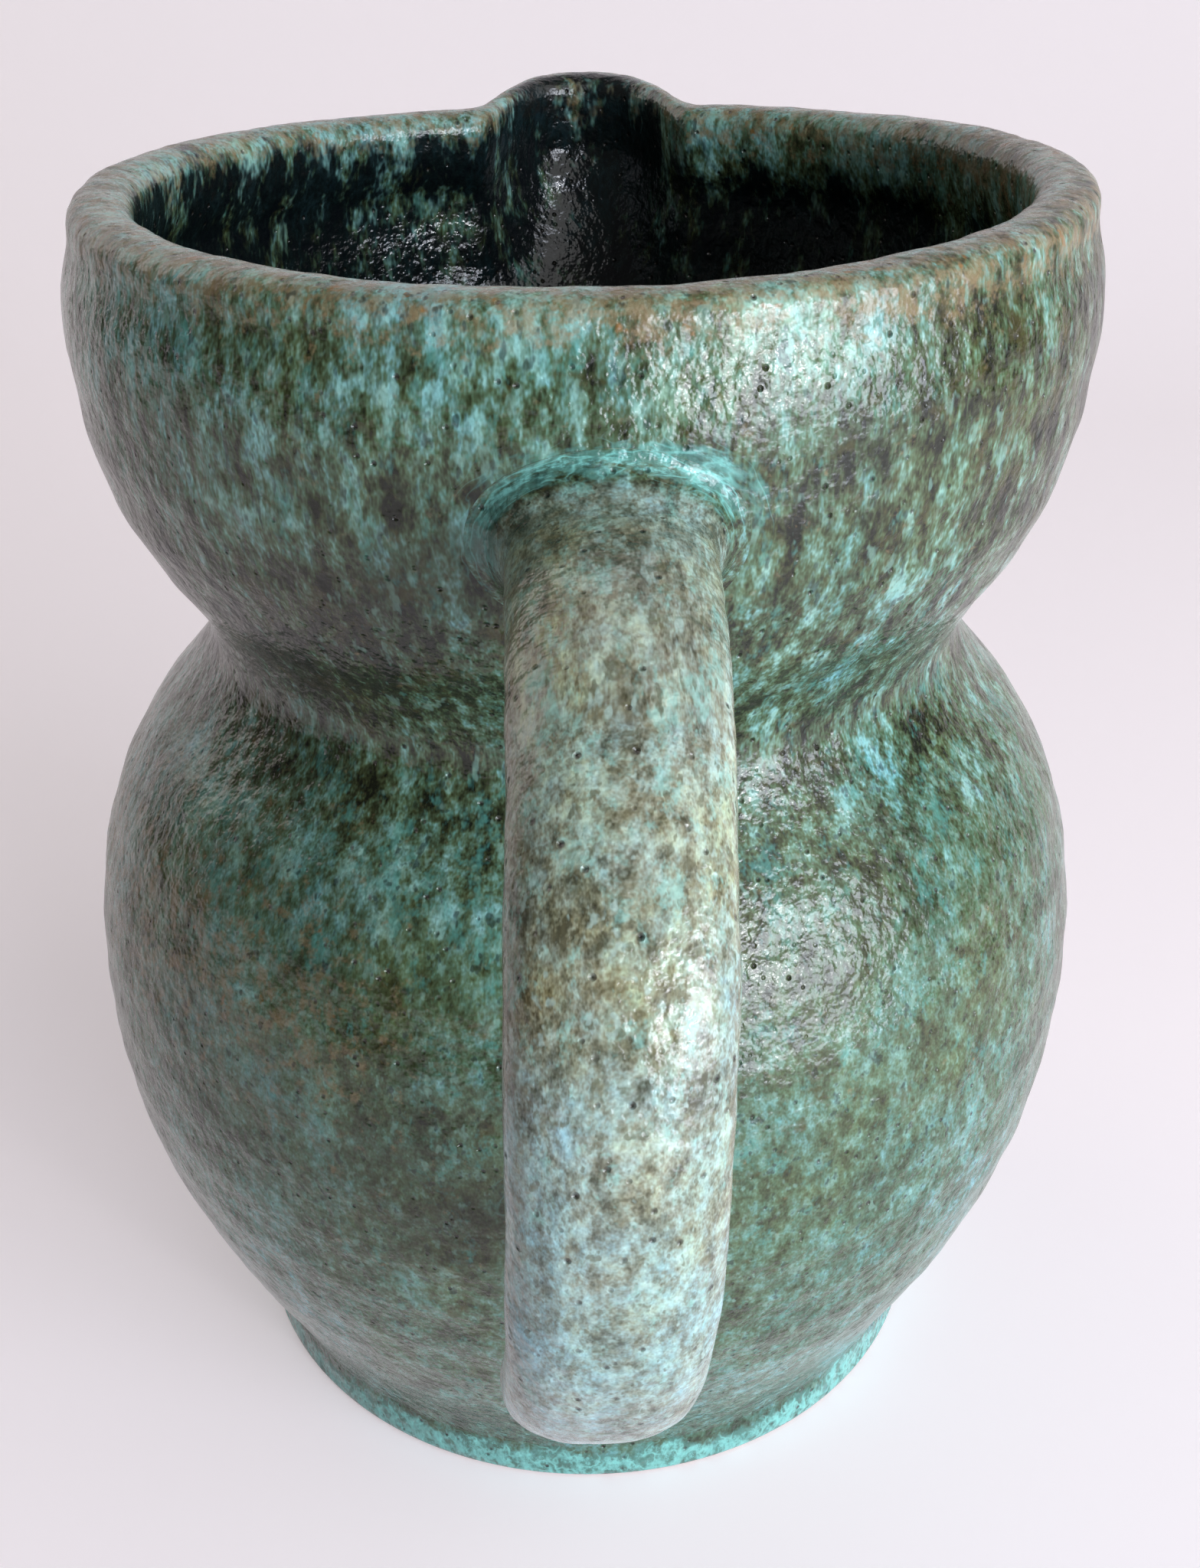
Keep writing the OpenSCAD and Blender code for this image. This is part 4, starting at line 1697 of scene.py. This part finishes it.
@dataclass
class Studio:
    """Pale floor, soft boxes and the camera. The floor's sizes are metres."""

    floor_colour: str = "#ded7da"
    floor_glow: float = 0.5
    floor_roughness: float = 0.6
    floor_reach: float = 2.5
    sweep_start: float = 0.45
    sweep_radius: float = 0.5
    sweep_top: float = 2.0
    sweep_steps: int = 24
    backdrop_colour: str = "#e6dfdb"
    fill: float = 0.08
    focal_px: float = 2350.0
    frame_height_px: float = 2048.0
    camera_mm: tuple[float, float, float] = (0.0, -240.3, 224.8)
    pitch_down: float = 29.4
    turn_right: float = 0.5
    sensor_mm: float = 36.0
    nearest: float = 0.01
    lamps: tuple[Lamp, ...] = (
        Lamp("window_box", (0.58, -0.66, 0.28), (0.7, 0.5), 9.4, "#e8efff"),
        Lamp("room_box", (1.05, -0.75, 1.05), (2.0, 2.0), 14.0),
        Lamp("sun_patch", (0.52, -0.72, 0.36), (0.07, 0.07), 1.0),
        Lamp("back_box", (-0.95, 0.75, 0.75), (1.2, 1.0), 4.0, "#fff4ec"),
    )

    def build(self) -> None:
        """Set up the floor, the world, the lamps and the camera."""
        self.lay_floor()
        self.fill_world()
        for lamp in self.lamps:
            self.hang(lamp)
        self.set_camera()
        bpy.context.scene.view_settings.view_transform = "Standard"

    def lay_floor(self) -> None:
        """Lay the plain pale floor, which sweeps up behind the jug."""
        turn = np.linspace(0.0, math.pi / 2, self.sweep_steps)
        start, radius, side = self.sweep_start, self.sweep_radius, self.floor_reach
        bend = [(start + radius * math.sin(a), radius - radius * math.cos(a)) for a in turn]
        line = [(-side, 0.0), *bend, (start + radius, self.sweep_top)]
        points = [(x, y, z) for y, z in line for x in (-side, side)]
        faces = [(2 * i, 2 * i + 1, 2 * i + 3, 2 * i + 2) for i in range(len(line) - 1)]
        mesh = bpy.data.meshes.new("floor")
        mesh.from_pydata(points, [], faces)
        mesh.shade_smooth()
        mesh.materials.append(self.paper())
        floor = bpy.data.objects.new("floor", mesh)
        bpy.context.collection.objects.link(floor)

    def paper(self) -> bpy.types.Material:
        """Build the floor's matt paper, which glows a little to the camera and in reflections.

        Returns:
            The paper's material.
        """
        material, tree, shader = start_material("Matt pale paper sweep")
        path = add_node(tree, "ShaderNodeLightPath", {}).outputs
        rays = {0: path["Is Camera Ray"], 1: path["Is Glossy Ray"]}
        seen = add_node(tree, "ShaderNodeMath", rays, operation="MAXIMUM").outputs[0]
        glow = add_node(tree, "ShaderNodeMapRange", {"Value": seen, "To Max": self.floor_glow})
        tree.links.new(glow.outputs["Result"], shader.inputs["Emission Strength"])
        for name in ("Base Color", "Emission Color"):
            shader.inputs[name].default_value = linear(self.floor_colour)
        shader.inputs["Roughness"].default_value = self.floor_roughness
        return material

    def fill_world(self) -> None:
        """Light the room evenly, and show a pale backdrop to the camera."""
        world = bpy.data.worlds.new("studio")
        world.use_nodes = True
        tree = world.node_tree
        tree.nodes.clear()
        seen = add_node(tree, "ShaderNodeLightPath", {}).outputs["Is Camera Ray"]
        limits = {"Value": seen, "To Min": self.fill, "To Max": 1.0}
        strength = add_node(tree, "ShaderNodeMapRange", limits).outputs["Result"]
        light = {"Color": linear(self.backdrop_colour), "Strength": strength}
        backdrop = add_node(tree, "ShaderNodeBackground", light).outputs["Background"]
        add_node(tree, "ShaderNodeOutputWorld", {"Surface": backdrop})
        bpy.context.scene.world = world

    def hang(self, lamp: Lamp) -> None:
        """Hang one soft box.

        Args:
            lamp: The lamp to hang.
        """
        light = bpy.data.lights.new(lamp.name, "AREA")
        light.shape = "RECTANGLE"
        light.size, light.size_y = lamp.size
        light.energy = lamp.power
        light.color = linear(lamp.colour)[:3]
        holder = bpy.data.objects.new(lamp.name, light)
        bpy.context.collection.objects.link(holder)
        toward = np.array(lamp.target) - np.array(lamp.stand)
        flat = math.hypot(toward[0], toward[1])
        holder.location = lamp.stand
        holder.rotation_euler = (math.atan2(flat, -toward[2]), 0.0, math.atan2(-toward[0], toward[1]))

    def set_camera(self) -> None:
        """Stand the camera at the photograph's place, looking down on the handle's side."""
        lens = bpy.data.cameras.new("camera")
        lens.sensor_width = self.sensor_mm
        lens.lens = self.focal_px / self.frame_height_px * lens.sensor_width
        lens.clip_start = self.nearest
        camera = bpy.data.objects.new("camera", lens)
        bpy.context.collection.objects.link(camera)
        camera.location = [value * MM for value in self.camera_mm]
        camera.rotation_euler = (math.radians(90.0 - self.pitch_down), 0.0, math.radians(-self.turn_right))
        bpy.context.scene.camera = camera


@dataclass
class Jug:
    """The whole jug: its pieces in order and the nodes of the frame that they stand for."""

    handle: StrapHandle = field(default_factory=StrapHandle)
    upper_fillet: tuple[float, float] = (0.0, 0.17)
    lower_fillet: tuple[float, float] = (2.0, 1.83)

    def build(self) -> None:
        """Build every piece, dress it and set it on the frame."""
        roots = self.handle.roots()
        upper, lower = roots
        body = ThrownBody(roots)
        glaze = MottledGlaze().material()
        bare = BareStoneware().material()
        bowl, spout = body.build_bowl_and_spout()
        fillet = self.handle.build_root_fillet
        pieces = (
            (body.build_foot(), "foot_ring", Slot.FOOT),
            (body.build_belly(), "belly", Slot.BODY),
            (body.build_waist_coil(), "waist_coil", Slot.BODY),
            (bowl, "bowl", Slot.BODY),
            (spout, "spout", Slot.BODY),
            (self.handle.build_strap(), "handle", Slot.HANDLE),
            (fillet("upper_root_fillet", *self.upper_fillet, upper, body), "upper_root_coil", Slot.HANDLE),
            (fillet("lower_root_fillet", *self.lower_fillet, lower, body), "lower_root_coil", Slot.HANDLE),
        )
        for piece, node, slot in pieces:
            piece.data.materials.append(glaze)
            piece.data.materials.append(bare)
            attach(piece, "root")
            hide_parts(node)
            log.info("%s: %d faces", piece.name, len(piece.data.polygons))


def main() -> None:
    """Build the jug and its studio."""
    logging.basicConfig(level=logging.INFO, format="%(name)s %(message)s")
    Jug().build()
    Studio().build()


if __name__ == "__main__":
    main()
